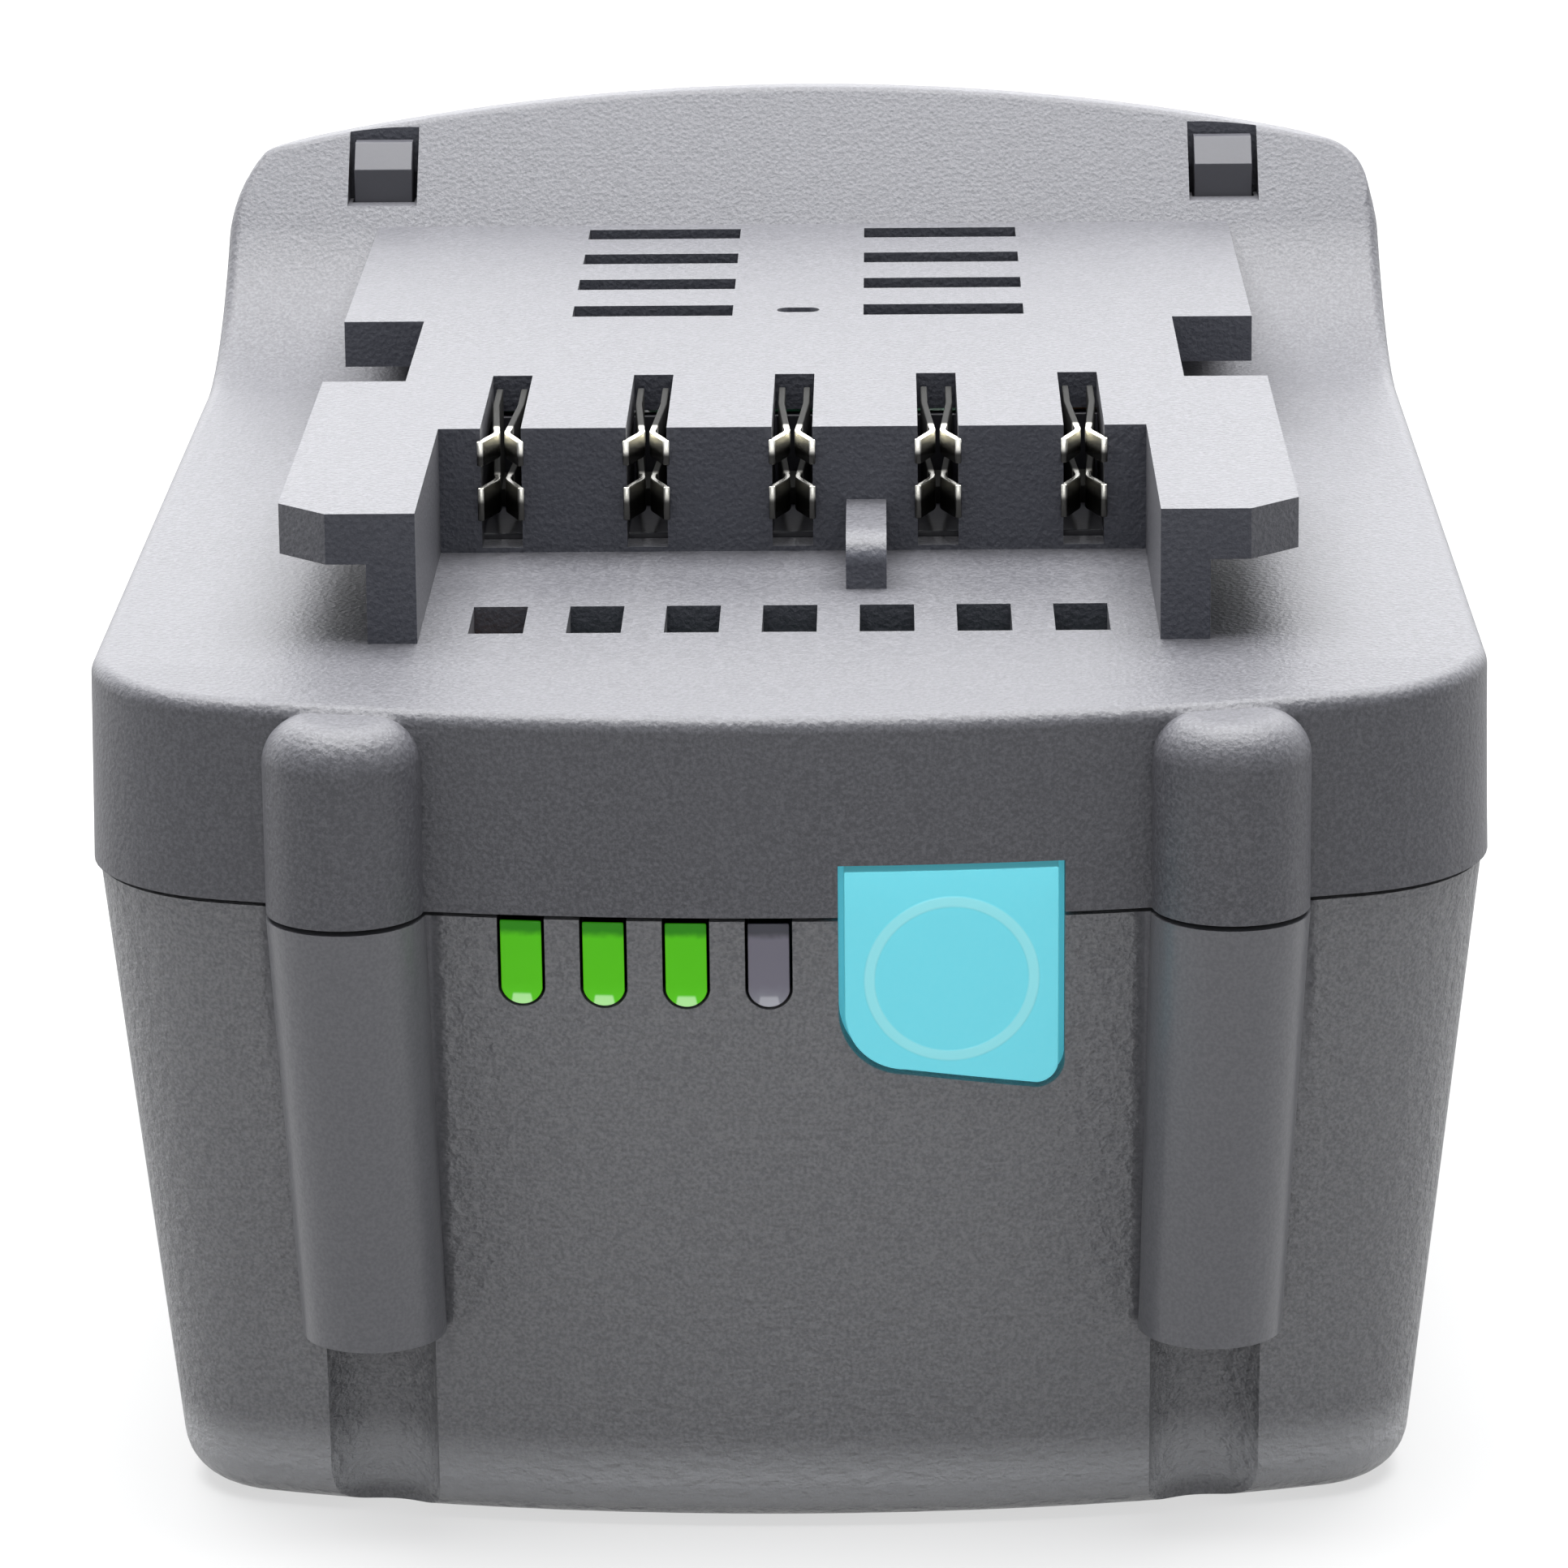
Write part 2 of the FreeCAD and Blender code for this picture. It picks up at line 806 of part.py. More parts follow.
key_top = flange + "key_rise"
key_side = [
    (block_front + LAP, flange - LAP),
    (block_front + LAP, key_top),
    (key_front + "key_round", key_top, size("key_round")),
    (key_front, key_top - "key_round"),
    (key_front, flange - LAP),
]
pad(upper_shell, "YZ", "key", [key_side], key_left, key_left + "key_width")
for name, sign in SIDES:
    for end, facing in ENDS:
        spot = (column_across * sign, column_along * facing)
        radius, dome, head = size("column_radius"), size("column_dome"), flange - "column_drop"
        half_section = [
            (0, upper_start),
            (radius, upper_start),
            (radius, head - dome, dome),
            (radius - dome, head),
            (0, head),
        ]
        turned(upper_shell, "Revolution", "upper_column_%s_%s" % (end, name), half_section, *spot)

upper_core = new_body("upper_core")
upper_form(upper_core, "upper_wall", upper_start - PAST)
backing_low = size("recess_low") - "recess_backing"
backing_high = size("recess_high") + "recess_backing"
backing_half = size("recess_half") + "recess_backing"
backing = [rectangle(-backing_half, backing_low, backing_half, backing_high)]
cut(upper_core, "XZ", "recess_backing_wall", backing, backing_face, half_length)
ledges = []
for name, sign in SIDES:
    inner = (size("spring_across") - "ledge_half") * sign
    outer = (size("spring_across") + "ledge_half") * sign
    ledges.append(rectangle(inner, bar_middle - "ledge_half", outer, half_length))
cut(upper_core, "XY", "spring_ledges", ledges, "ledge_low", "ledge_high")
hollow = upper_shell.newObject("PartDesign::Boolean", "hollow")
hollow.addObjects([upper_core])
hollow.Type = "Cut"

deck_inside = neck - "upper_wall"
block_inside = block_front + "upper_wall"
room = [rectangle(-deck_inside, block_inside, deck_inside, hump_inside)]
cut(upper_shell, "XY", "deck_room", room, flange - "upper_wall" - LAP, deck - "upper_wall")
rebate_inner = size("upper_wall") + LAP
rebate_outer = size("seam_step") + "lower_wall" - "lip_thick" - "lip_clearance"
rebate = [plan_outline(rebate_outer), plan_outline(rebate_inner)]
cut(upper_shell, "XY", "rebate", rebate, upper_start - PAST, seam + "lip_height" + "lip_clearance")

boss_rings, pilot_rings, way_rings, seat_rings, sleeve_rings = [], [], [], [], []
for name, sign in SIDES:
    for end, facing in ENDS:
        spot = (channel_across * sign, screw_along(facing))
        boss_rings.append(circle(*spot, boss_radius))
        pilot_rings.append(circle(*spot, "pilot_hole"))
        way_rings.append(circle(*spot, screw_radius))
        seat_rings.append(circle(*spot, size("head_radius") + "head_gap"))
        sleeve_rings.append(circle(*spot, size("head_radius") + "head_gap" + "seat_wall"))
pad(upper_shell, "XY", "bosses", boss_rings, seam, seam + "boss_rise")
pilot_end = seam + "boss_rise" - "boss_cap"
cut(upper_shell, "XY", "pilots", pilot_rings, seam - PAST, pilot_end)

contact_places = [size("contact_pitch") * (i - 2) for i in range(5)]
half_slot, slot_back = size("slot_width") / 2, block_front + "slot_length"
slots = []
for middle in contact_places:
    slots.append(rectangle(middle - half_slot, block_front - PAST, middle + half_slot, slot_back))
cut(upper_shell, "XY", "contact_slots", slots, flange + "slot_sill", deck + PAST)
half_vent, vent_front, vent_back = size("vent_width") / 2, -size("vent_front"), -size("vent_back")
vents = []
for i in range(7):
    middle = size("vent_pitch") * (i - 3)
    vents.append(rectangle(middle - half_vent, vent_front, middle + half_vent, vent_back))
cut(upper_shell, "XY", "vents", vents, flange - "upper_wall" - PAST, flange + PAST)
louvres = []
for name, sign in SIDES:
    for i in range(4):
        start = size("louvre_start") + size("louvre_pitch") * i
        inner, outer = size("louvre_inner") * sign, size("louvre_outer") * sign
        louvres.append(rectangle(inner, start, outer, start + "louvre_width"))
cut(upper_shell, "XY", "louvres", louvres, deck - "upper_wall" - LAP, deck + PAST)

half_dimple, dimple_corner = size("dimple_width") / 2, size("dimple_corner")
dimple_front = size("dimple_along") - size("dimple_length") / 2
dimple_back = dimple_front + "dimple_length"
dimple = rounded(-half_dimple, dimple_front, half_dimple, dimple_back, dimple_corner)
cut(upper_shell, "XY", "dimple", [dimple], deck - "dimple_depth", deck + PAST)
button_hole = [button_loop(size("button_gap"))]
cut(upper_shell, "XZ", "upper_button_hole", button_hole, -half_length, small_board_face)

recess_half = size("recess_half")
recess = [rounded(-recess_half, "recess_low", recess_half, "recess_high", "recess_corner")]
cut(upper_shell, "XZ", "recess", recess, half_length + PAST, "recess_floor")
way_low = size("bar_low") - "latch_travel" - "fit_gap"
way_high = size("bar_high") + "fit_gap"
way_front, way_rear = size("bar_front") - "lug_gap", size("bar_rear") + "lug_gap"
stem_ways, lug_ways, lug_windows = [], [], []
for name, sign in SIDES:
    reach = size("stem_width") / 2 + "fit_gap"
    inner, outer = (size("stem_across") - reach) * sign, (size("stem_across") + reach) * sign
    stem_ways.append(rectangle(inner, way_low, outer, way_high))
    lug_inner, lug_outer = size("bar_half") - "lug_width", size("bar_half")
    inner, outer = (lug_inner - "lug_gap") * sign, (lug_outer + "lug_gap") * sign
    lug_ways.append(rectangle(inner, way_front, outer, way_rear))
    inner, outer = (lug_inner - "lug_margin") * sign, (lug_outer + "lug_margin") * sign
    lug_windows.append(rectangle(inner, deck + "lug_sill", outer, top + PAST))
cut(upper_shell, "XZ", "stem_ways", stem_ways, size("recess_floor") + LAP, backing_face - LAP)
cut(upper_shell, "XY", "lug_ways", lug_ways, "bar_low", top)
cut(upper_shell, "XZ", "lug_windows", lug_windows, way_rear, size("bar_front") - "deck_overlap")

# Lower shell
def channel_line(end, sign, low):
    """The axis of a screw channel, from a low level up to the column's foot."""
    across, start = channel_across * sign, (outer_wall(end, low) + "channel_offset") * end
    return (across, start, low), (across, screw_along(end), foot_level)


def shell_columns(body, kind):
    """The four leaning screw columns, square cut at the seam and at their feet."""
    for name, sign in SIDES:
        for end, facing in ENDS:
            lean = size("column_lean") if facing < 0 else size("rear_column_lean")
            head_radius = size("column_radius")
            foot_radius = head_radius - "column_taper"
            foot = (channel_across * sign, (half_length - lean - foot_radius) * facing, foot_level)
            head = (column_across * sign, column_along * facing, lower_end)
            tag = "%s_column_%s_%s" % (body.Label, end, name)
            leaning_cone(body, kind, tag, foot, head, foot_radius, head_radius, PAST)


everywhere = [rectangle(-half_width * 2, -half_length * 2, half_width * 2, half_length * 2)]
column_end = size("column_radius") * 2
lower_shell = new_body("lower_shell")
shell_columns(lower_shell, "AdditiveCone")
cut(lower_shell, "XY", "column_heads", everywhere, lower_end, lower_end + column_end)
cut(lower_shell, "XY", "column_feet", everywhere, foot_level, foot_level - column_end)
lower_outline = [plan_outline("seam_step")]
pad(lower_shell, "XY", "case", lower_outline, lower_end, 0, -size("lower_draft"))


def base_edge(edge):
    return edge.BoundBox.ZMax < NEAR


finish_edges(lower_shell, "Fillet", "base_round", "bottom_round", base_edge)

lower_core = new_body("lower_core")
core_outline = [plan_outline(size("seam_step") + "lower_wall")]
pad(lower_core, "XY", "room", core_outline, lower_end, "floor_thick", -size("lower_draft"))
shell_columns(lower_core, "SubtractiveCone")
for name, sign in SIDES:
    for end, facing in ENDS:
        tag = "core_backing_%s_%s" % (end, name)
        line = channel_line(facing, sign, size(0))
        reach = size("channel_radius") + "channel_backing"
        leaning_cone(lower_core, "SubtractiveCylinder", tag, *line, reach, reach, LAP * 2)
cut(lower_core, "XY", "core_bosses", boss_rings, foot_level, seam)
cut(lower_core, "XY", "core_sleeves", sleeve_rings, foot_level, seat_level + "seat_wall")
guide_blocks, end_ribs, side_ribs = [], [], []
rib_face = frame_half + "plate_thick" + "sheet_thick" + "fit_gap"
rib, half_rib = size("rib_width"), size("rib_width") / 2
for name, sign in SIDES:
    inner, outer = (guide_half - "guide_grip") * sign, (guide_half + "guide_wall") * sign
    guide_blocks.append(rectangle(inner, -half_length, outer, guide_rear))
    inner, outer = (frame_half - "rib_inset") * sign, (frame_half - "rib_inset" + rib) * sign
    end_ribs.append(rectangle(inner, -half_length, outer, frame_front - "fit_gap"))
    end_ribs.append(rectangle(inner, half_length, outer, frame_rear + "fit_gap"))
    for i in range(3):
        middle = size("cell_shift") + size("rib_pitch") * (i - 1)
        inner, outer = rib_face * sign, half_width * sign
        side_ribs.append(rectangle(inner, middle - half_rib, outer, middle + half_rib))
cut(lower_core, "XY", "guide_blocks", guide_blocks, 0, guide_top)
cut(lower_core, "XY", "locating_ribs", end_ribs + side_ribs, 0, seam - "rib_drop")
inside = lower_shell.newObject("PartDesign::Boolean", "inside")
inside.addObjects([lower_core])
inside.Type = "Cut"
lip_outer = size("seam_step") + "lower_wall" - "lip_thick"
lip = [plan_outline(lip_outer), plan_outline(size("seam_step") + "lower_wall")]
pad(lower_shell, "XY", "lip", lip, lower_end, seam + "lip_height")
lip_gaps = []
for name, sign in SIDES:
    for end, facing in ENDS:
        lip_gaps.append(circle(channel_across * sign, screw_along(facing), boss_radius + "lip_clearance"))
cut(lower_shell, "XY", "lip_gaps", lip_gaps, seam, seam + "lip_height" + PAST)
pad(lower_shell, "XY", "boss_tops", boss_rings, lower_end, seam)
for name, sign in SIDES:
    for end, facing in ENDS:
        tag = "channel_%s_%s" % (end, name)
        line = channel_line(facing, sign, size(-PAST))
        reach = size("channel_radius")
        leaning_cone(lower_shell, "SubtractiveCylinder", tag, *line, reach, reach)
above_lip = seam + "lip_height" + PAST
cut(lower_shell, "XY", "screw_ways", way_rings, foot_level - LAP, above_lip)
cut(lower_shell, "XY", "screw_seats", seat_rings, foot_level - PAST, seat_level)
cut(lower_shell, "XY", "guide_grooves", guide_grooves(), "small_board_low", above_lip)
cut(lower_shell, "XZ", "lower_button_hole", button_hole, -half_length, small_board_face)
window_holes = [window_outline(middle, size("window_gap"), above_lip) for middle in window_middles]
cut(lower_shell, "XZ", "window_holes", window_holes, -half_length, small_board_face)

# Four case screws, driven from below into the upper shell's bosses
head, shank = size("head_radius"), size("pilot_hole") - "running_gap"
socket, socket_top = size("socket_radius"), seat_level - "head_height" + "socket_depth"
head_low, shank_end = seat_level - "head_height", pilot_end - "screw_end_gap"
half_section = [
    (socket, head_low),
    (head - "head_bevel", head_low),
    (head, head_low + "head_bevel"),
    (head, seat_level),
    (shank, seat_level),
    (shank, shank_end - "screw_point"),
    (shank / 4, shank_end),
    (0, shank_end),
    (0, socket_top),
    (socket, socket_top),
]
case_screws = new_body("case_screws")
for name, sign in SIDES:
    for end, facing in ENDS:
        spot = (channel_across * sign, screw_along(facing))
        turned(case_screws, "Revolution", "case_screw_%s_%s" % (end, name), half_section, *spot)

# Level windows with their collars, and the charge button with its rim
collar, high = size("window_collar"), lower_end - "fit_gap"
lamp_face = small_board_face - "lamp_thick"
behind = size("seam_step") + "lower_wall" + "fit_gap"
windows = []
for i, middle in enumerate(window_middles):
    window = new_body("level_window_%d" % (i + 1))
    collar_loop = [window_outline(middle, collar, high)]
    pad(window, "XZ", window.Label + "_collar", collar_loop, -half_length, lamp_face)
    facing_cut(window, window.Label + "_collar_face", behind, behind)
    window_loop = [window_outline(middle, size(0), high)]
    pad(window, "XZ", window.Label + "_pane", window_loop, -half_length, lamp_face)
    facing_cut(window, window.Label + "_face", "seam_step", "seam_step")
    windows.append(window)

charge_button = new_body("charge_button")
button_back = -size("button_back")
pad(charge_button, "XZ", "button_rim", [button_loop(size("button_rim"))], -half_length, button_back)
facing_cut(charge_button, "button_rim_face", behind, behind)
pad(charge_button, "XZ", "button_pad", [button_loop(size(0))], -half_length, button_back)
facing_cut(charge_button, "button_face", "fit_gap", "fit_gap")

# The small upright board with its lamps and switch
indicator_board = new_body("indicator_board")
edge = rectangle(-guide_half, "small_board_low", guide_half, "small_board_high")
pad(indicator_board, "XZ", "indicator_board_sheet", [edge], small_board_face, -size("small_board_back"))
indicator_lamps = new_body("indicator_lamps")
half_lamp = size("lamp_width") / 2
lamp_low = size("window_low") + "lamp_rise" - size("lamp_height") / 2
lamp_high = lamp_low + "lamp_height"
lamps = []
for middle in window_middles:
    lamps.append(rectangle(middle - half_lamp, lamp_low, middle + half_lamp, lamp_high))
pad(indicator_lamps, "XZ", "lamp_blocks", lamps, lamp_face, small_board_face)
switch_across = (size("button_left") + "button_right") / 2
switch_level = (size("button_low") + "button_top") / 2
switch_face = small_board_face - "switch_thick"
half_switch = size("switch_size") / 2
switch_body = new_body("switch_body")
square = rounded(
    switch_across - half_switch,
    switch_level - half_switch,
    switch_across + half_switch,
    switch_level + half_switch,
    "switch_corner",
)
pad(switch_body, "XZ", "switch_case", [square], switch_face, small_board_face)
plunger_ring = [circle(switch_across, switch_level, size("plunger_radius") + "running_gap")]
cut(switch_body, "XZ", "switch_bore", plunger_ring, switch_face - LAP, small_board_face)
switch_plunger = new_body("switch_plunger")
plunger_ring = [circle(switch_across, switch_level, "plunger_radius")]
plunger_end = small_board_face - "button_travel"
pad(switch_plunger, "XZ", "plunger", plunger_ring, button_back, plunger_end)
indicator_ribbon = new_body("indicator_ribbon")
ribbon_face, ribbon_back = -size("small_board_back"), size("ribbon_thick") - "small_board_back"
board_edge = -size("main_board_front")
ribbon_foot = size("small_board_high") - "ribbon_drop"
ribbon_low = board_low + "ribbon_lift"
ribbon_high = ribbon_low + "ribbon_thick"
half_ribbon = size("ribbon_width") / 2
ribbon = [
    (ribbon_face, ribbon_foot),
    (ribbon_back, ribbon_foot),
    (ribbon_back, ribbon_low),
    (board_edge, ribbon_low),
    (board_edge, ribbon_high),
    (ribbon_face, ribbon_high),
]
pad(indicator_ribbon, "YZ", "ribbon", [ribbon], -half_ribbon, half_ribbon)

# Ten cells in two layers, their frames, link plates, sheets and pads
def cell(name, along, level, plus_at_right):
    """One round cell, turned upright and then laid along the pack's width."""
    body = new_body(name)
    radius, length, bevel = size("cell_radius"), size("cell_length"), size("can_bevel")
    groove = length - "groove_from_end"
    cap, shoulder = size("cap_radius"), length - "cap_rise"
    half_section = [
        (0, 0),
        (radius - bevel, 0),
        (radius, bevel),
        (radius, groove - bevel),
        (radius - bevel, groove),
        (radius, groove + bevel),
        (radius, shoulder - "cap_rise"),
        (radius - "cap_rise", shoulder),
        (cap + "cap_slope", shoulder),
        (cap, length),
        (0, length),
    ]
    turned(body, "Revolution", name + "_can", half_section, 0, 0)
    sign = 1 if plus_at_right else -1
    turn = FreeCAD.Rotation(FreeCAD.Vector(0, 1, 0), 90 * sign)
    body.Placement = FreeCAD.Placement(FreeCAD.Vector(0, 0, 0), turn)
    bind(body, "Placement.Base.x", -frame_half * sign)
    bind(body, "Placement.Base.y", along)
    bind(body, "Placement.Base.z", level)
    return body


cells = []
for row, along in enumerate(cell_rows):
    for layer, level in (("lower", low_layer), ("upper", high_layer)):
        cells.append(cell("cell_%s_%d" % (layer, row + 1), along, level, row % 2 == 1))

frames, link_plates, sheets = [], [], []
corner = pocket_radius + "frame_wall"
for name, sign in SIDES:
    frame = new_body("cell_frame_" + name)
    inner, outer = (frame_half - "frame_depth") * sign, frame_half * sign
    outline = rounded(frame_front, frame_bottom, frame_rear, frame_top, corner)
    pad(frame, "YZ", "frame_block_" + name, [outline], inner, outer)
    pockets = []
    for level in (low_layer, high_layer):
        pockets += [circle(along, level, pocket_radius) for along in cell_rows]
    cut(frame, "YZ", "pockets_" + name, pockets, outer + sign, inner - sign)
    posts = [circle(size("post_across") * sign, along, "post_radius") for along in post_rows]
    pad(frame, "XY", "posts_" + name, posts, frame_top - LAP, board_low)
    pilots = [circle(size("post_across") * sign, along, "post_pilot") for along in post_rows]
    cut(frame, "XY", "post_pilots_" + name, pilots, board_low + PAST, board_low - "pilot_depth")
    frames.append(frame)
    groups = ((0, 0), (1, 2), (3, 4)) if sign < 0 else ((0, 1), (2, 3), (4, 4))
    for number, (first, last) in enumerate(groups):
        plate = new_body("link_plate_%s_%d" % (name, number + 1))
        inner, outer = frame_half * sign, (frame_half + "plate_thick") * sign
        low, high = low_layer - "plate_reach", high_layer + "plate_reach"
        front, rear = cell_rows[first] - "plate_side", cell_rows[last] + "plate_side"
        sheet_outline = rounded(front, low, rear, high, "plate_corner")
        pad(plate, "YZ", plate.Label + "_sheet", [sheet_outline], inner, outer)
        middle, half_tab = (front + rear) / 2, size("tab_width") / 2
        tab = rectangle(middle - half_tab, high - LAP, middle + half_tab, board_high)
        pad(plate, "YZ", plate.Label + "_tab", [tab], inner, outer)
        slits = []
        half_slit, slit_reach = size("slit_width") / 2, size("slit_length") / 2
        for along in cell_rows[first : last + 1]:
            for level in (low_layer, high_layer):
                low, high = level - slit_reach, level + slit_reach
                slits.append(rectangle(along - half_slit, low, along + half_slit, high))
        cut(plate, "YZ", plate.Label + "_slits", slits, outer + sign, inner - sign)
        link_plates.append(plate)
    cover = new_body("cover_sheet_" + name)
    inner = (frame_half + "plate_thick") * sign
    outer = (frame_half + "plate_thick" + "sheet_thick") * sign
    front, rear = frame_front + "sheet_side", frame_rear - "sheet_side"
    low, high = frame_bottom + "sheet_low", high_layer + "sheet_reach"
    sheet_outline = rounded(front, low, rear, high, "sheet_corner")
    pad(cover, "YZ", "cover_%s" % name, [sheet_outline], inner, outer)
    sheets.append(cover)
frame_pads = new_body("frame_pads")
strips = []
for name, sign in SIDES:
    inner = (frame_half - "frame_depth" + "pad_inset") * sign
    outer = (frame_half - "pad_inset") * sign
    strips.append(rectangle(inner, frame_front + corner, outer, frame_rear - corner))
pad(frame_pads, "XY", "pad_strips", strips, "floor_thick", frame_bottom)
temperature_sensor = new_body("temperature_sensor")
valley = size("cell_shift") + size("cell_pitch") / 2
bead_radius, lead_radius = size("bead_radius"), size("lead_radius")
reach = size("cell_radius") + bead_radius + "fit_gap"
bead_level = high_layer + root(reach * reach - size("cell_pitch") * "cell_pitch" / 4)
bead = [
    (0, bead_level - bead_radius),
    (bead_radius * 0.6, bead_level - bead_radius * 0.8),
    (bead_radius, bead_level),
    (bead_radius * 0.6, bead_level + bead_radius * 0.8),
    (lead_radius, bead_level + bead_radius),
    (lead_radius, board_low),
    (0, board_low),
]
turned(temperature_sensor, "Revolution", "sensor_bead", bead, 0, valley)

# Main board and what stands on it
main_board = new_body("main_board")
board_front, board_rear = -size("main_board_front"), size("main_board_rear")
outline = rounded(-frame_half, board_front, frame_half, board_rear, "board_corner")
pad(main_board, "XY", "board_sheet", [outline], board_low, board_high)
screw_holes = []
for name, sign in SIDES:
    for along in post_rows:
        screw_holes.append(circle(size("post_across") * sign, along, size("post_pilot") + "fit_gap"))
tail_front, tail_rear, tail_half = -size("tail_front"), -size("tail_rear"), size("tail_half")
tail_slots = []
for middle in contact_places:
    reach = tail_half + "fit_gap"
    front, rear = tail_front - "fit_gap", tail_rear + "fit_gap"
    tail_slots.append(rectangle(middle - reach, front, middle + reach, rear))
cut(main_board, "XY", "board_holes", screw_holes + tail_slots, board_high + PAST, board_low - PAST)
board_screws = new_body("board_screws")
point = board_low - "pilot_depth" + LAP
shank, socket = size("post_pilot") - "running_gap", size("board_socket")
head, head_high = size("board_screw_head"), board_high + "board_screw_rise"
head_side, socket_floor = board_high + size("board_screw_rise") / 2, board_high + LAP
half_section = [
    (0, point),
    (shank, point + shank),
    (shank, board_high),
    (head, board_high),
    (head, head_side),
    (socket, head_high),
    (socket, socket_floor),
    (0, socket_floor),
]
for name, sign in SIDES:
    for number, along in enumerate(post_rows):
        screw_name = "board_screw_%s_%d" % (name, number + 1)
        turned(board_screws, "Revolution", screw_name, half_section, size("post_across") * sign, along)

# The holder of the five contacts, a comb of black plastic
holder_high = deck - "upper_wall" - "holder_gap"
slot_floor = flange + "holder_floor"
terminal_holder = new_body("terminal_holder")
holder_half = size("holder_half")
holder_front, holder_rear = -size("holder_front"), -size("holder_rear")
outline = rectangle(-holder_half, holder_front, holder_half, holder_rear)
pad(terminal_holder, "XY", "holder_block", [outline], board_high, holder_high)
half_slot, slot_back = size("holder_slot") / 2, LAP * 2 - size("leaf_root")
slots = []
for middle in contact_places:
    slots.append(rectangle(middle - half_slot, holder_front - PAST, middle + half_slot, slot_back))
cut(terminal_holder, "XY", "holder_slots", slots, slot_floor, holder_high + PAST)
cut(terminal_holder, "XY", "holder_tail_slots", tail_slots, slot_floor + LAP, board_high - LAP)


def mirrored(loop):
    """The same outline on the other side of the Y axis, still counter-clockwise."""
    flipped = []
    for i in range(len(loop) - 1, -1, -1):
        flipped.append((-size(loop[i][0]), loop[i][1]) + tuple(loop[i - 1][2:]))
    return flipped


def fork_contact(name, place):
    """A fork of two sprung leaves that nip the tool's blade and flare open at the mouth."""
    body = new_body(name)
    thick = size("leaf_thick")
    throat, flare = size("leaf_gap"), size("leaf_flare")
    rear, bend, nip, tip = (-size("leaf_" + word) for word in ("root", "bend", "nip", "tip"))
    nip_rear, nip_front = nip + size("nip_length") / 2, nip - size("nip_length") / 2
    rear_gap = size("leaf_pinch") + "nip_ease"
    front_gap = size("leaf_pinch") + "nip_spread"
    radius = size("nip_radius")
    leaf = [
        (throat, rear),
        (throat, bend),
        (rear_gap, nip_rear, radius),
        (front_gap, nip_front),
        (flare, tip),
        (flare + thick, tip),
        (front_gap + thick, nip_front, thick - radius),
        (rear_gap + thick, nip_rear),
        (throat + thick, bend),
        (throat + thick, rear),
    ]
    pad(body, "XY", name + "_leaves", [leaf, mirrored(leaf)], slot_floor, deck - "finger_drop")
    reach = flare + thick + LAP
    split_low, split_high = flange + "split_low", flange + "split_low" + "split_width"
    split_end = bend - size("leaf_thick") * 4
    split_round = size("split_width") / 2 * ARC_EASE
    finger_gap = [
        (tip - reach, split_low),
        (split_end, split_low, split_round),
        (split_end, split_high),
        (tip - reach, split_high),
    ]
    foot_high = slot_floor + "fork_foot"
    finger_foot = [
        (tip - reach, slot_floor - PAST),
        (bend - thick * 2, slot_floor - PAST),
        (bend - thick * 2, foot_high - thick * 2),
        (bend - thick * 4, foot_high),
        (tip - reach, foot_high),
    ]
    cut(body, "YZ", name + "_fingers", [finger_gap, finger_foot], -reach, reach)
    wide = throat + thick / 2
    base = [rectangle(-wide, bend, wide, rear)]
    pad(body, "XY", name + "_base", base, slot_floor, slot_floor + "fork_base")
    tail = [rectangle(-tail_half, tail_front, tail_half, tail_rear)]
    pad(body, "XY", name + "_tail", tail, slot_floor + LAP, board_low - tail_half * 2)
    body.Placement = FreeCAD.Placement()
    bind(body, "Placement.Base.x", place)
    return body


CONTACTS = (
    "power_contact_plus",
    "signal_contact_left",
    "signal_contact_middle",
    "signal_contact_right",
    "power_contact_minus",
)
contacts = [fork_contact(name, place) for name, place in zip(CONTACTS, contact_places)]


def strap(name, sign, along, holder_edge):
    """A flat copper strap from a link plate's tab, over the board, to the contact holder."""
    body = new_body(name)
    half_strap = size("strap_width") / 2
    edge, inner = frame_half + "plate_thick", size("strap_inner")
    towards = 1 if sign < 0 else -1
    run = [
        (edge * sign, along - half_strap * towards),
        (inner * sign, along - half_strap * towards),
        (inner * sign, holder_edge),
        ((inner + "strap_width") * sign, holder_edge),
        ((inner + "strap_width") * sign, along + half_strap * towards),
        (edge * sign, along + half_strap * towards),
    ]
    pad(body, "XY", name + "_sheet", [run], board_high, board_high + "strap_thick")
    return body


strap_plus = strap("power_strap_plus", -1, cell_rows[0], holder_front)
strap_minus = strap("power_strap_minus", 1, cell_rows[4], holder_rear)


def on_board(name, spots, width, length, height):
    """A group of like blocks standing on the main board."""
    body = new_body(name)
    loops = []
    for across, along in spots:
        across, along, half, reach = size(across), size(along), size(width) / 2, size(length) / 2
        loops.append(rectangle(across - half, along - reach, across + half, along + reach))
    pad(body, "XY", name + "_blocks", loops, board_high, board_high + height)
    return body


# Where each kind stands (across, along), and its width, length and height
BOARD_PARTS = {
    "power_transistors": ([(-13.5, 6), (-5, 6), (3.5, 6), (12, 6)], 6.6, 6.2, 2.3),
    "control_chip": ([(-5, 22.5)], 7, 7, 1.2),
    "current_shunt": ([(9, 21)], 6.4, 3.2, 0.9),
    "fuse": ([(9, 32)], 6, 2.6, 2),
    "balance_resistors": ([(7 * k - 10, -24) for k in range(5)], 3.2, 1.6, 0.6),
}
CAPACITOR_SPOTS = ((-12, 17), (-12, 31))
board_parts = [on_board(name, *details) for name, details in BOARD_PARTS.items()]
capacitors = new_body("capacitors")
cans = [circle(across, along, "capacitor_radius") for across, along in CAPACITOR_SPOTS]
pad(capacitors, "XY", "capacitor_cans", cans, board_high, board_high + "capacitor_height")

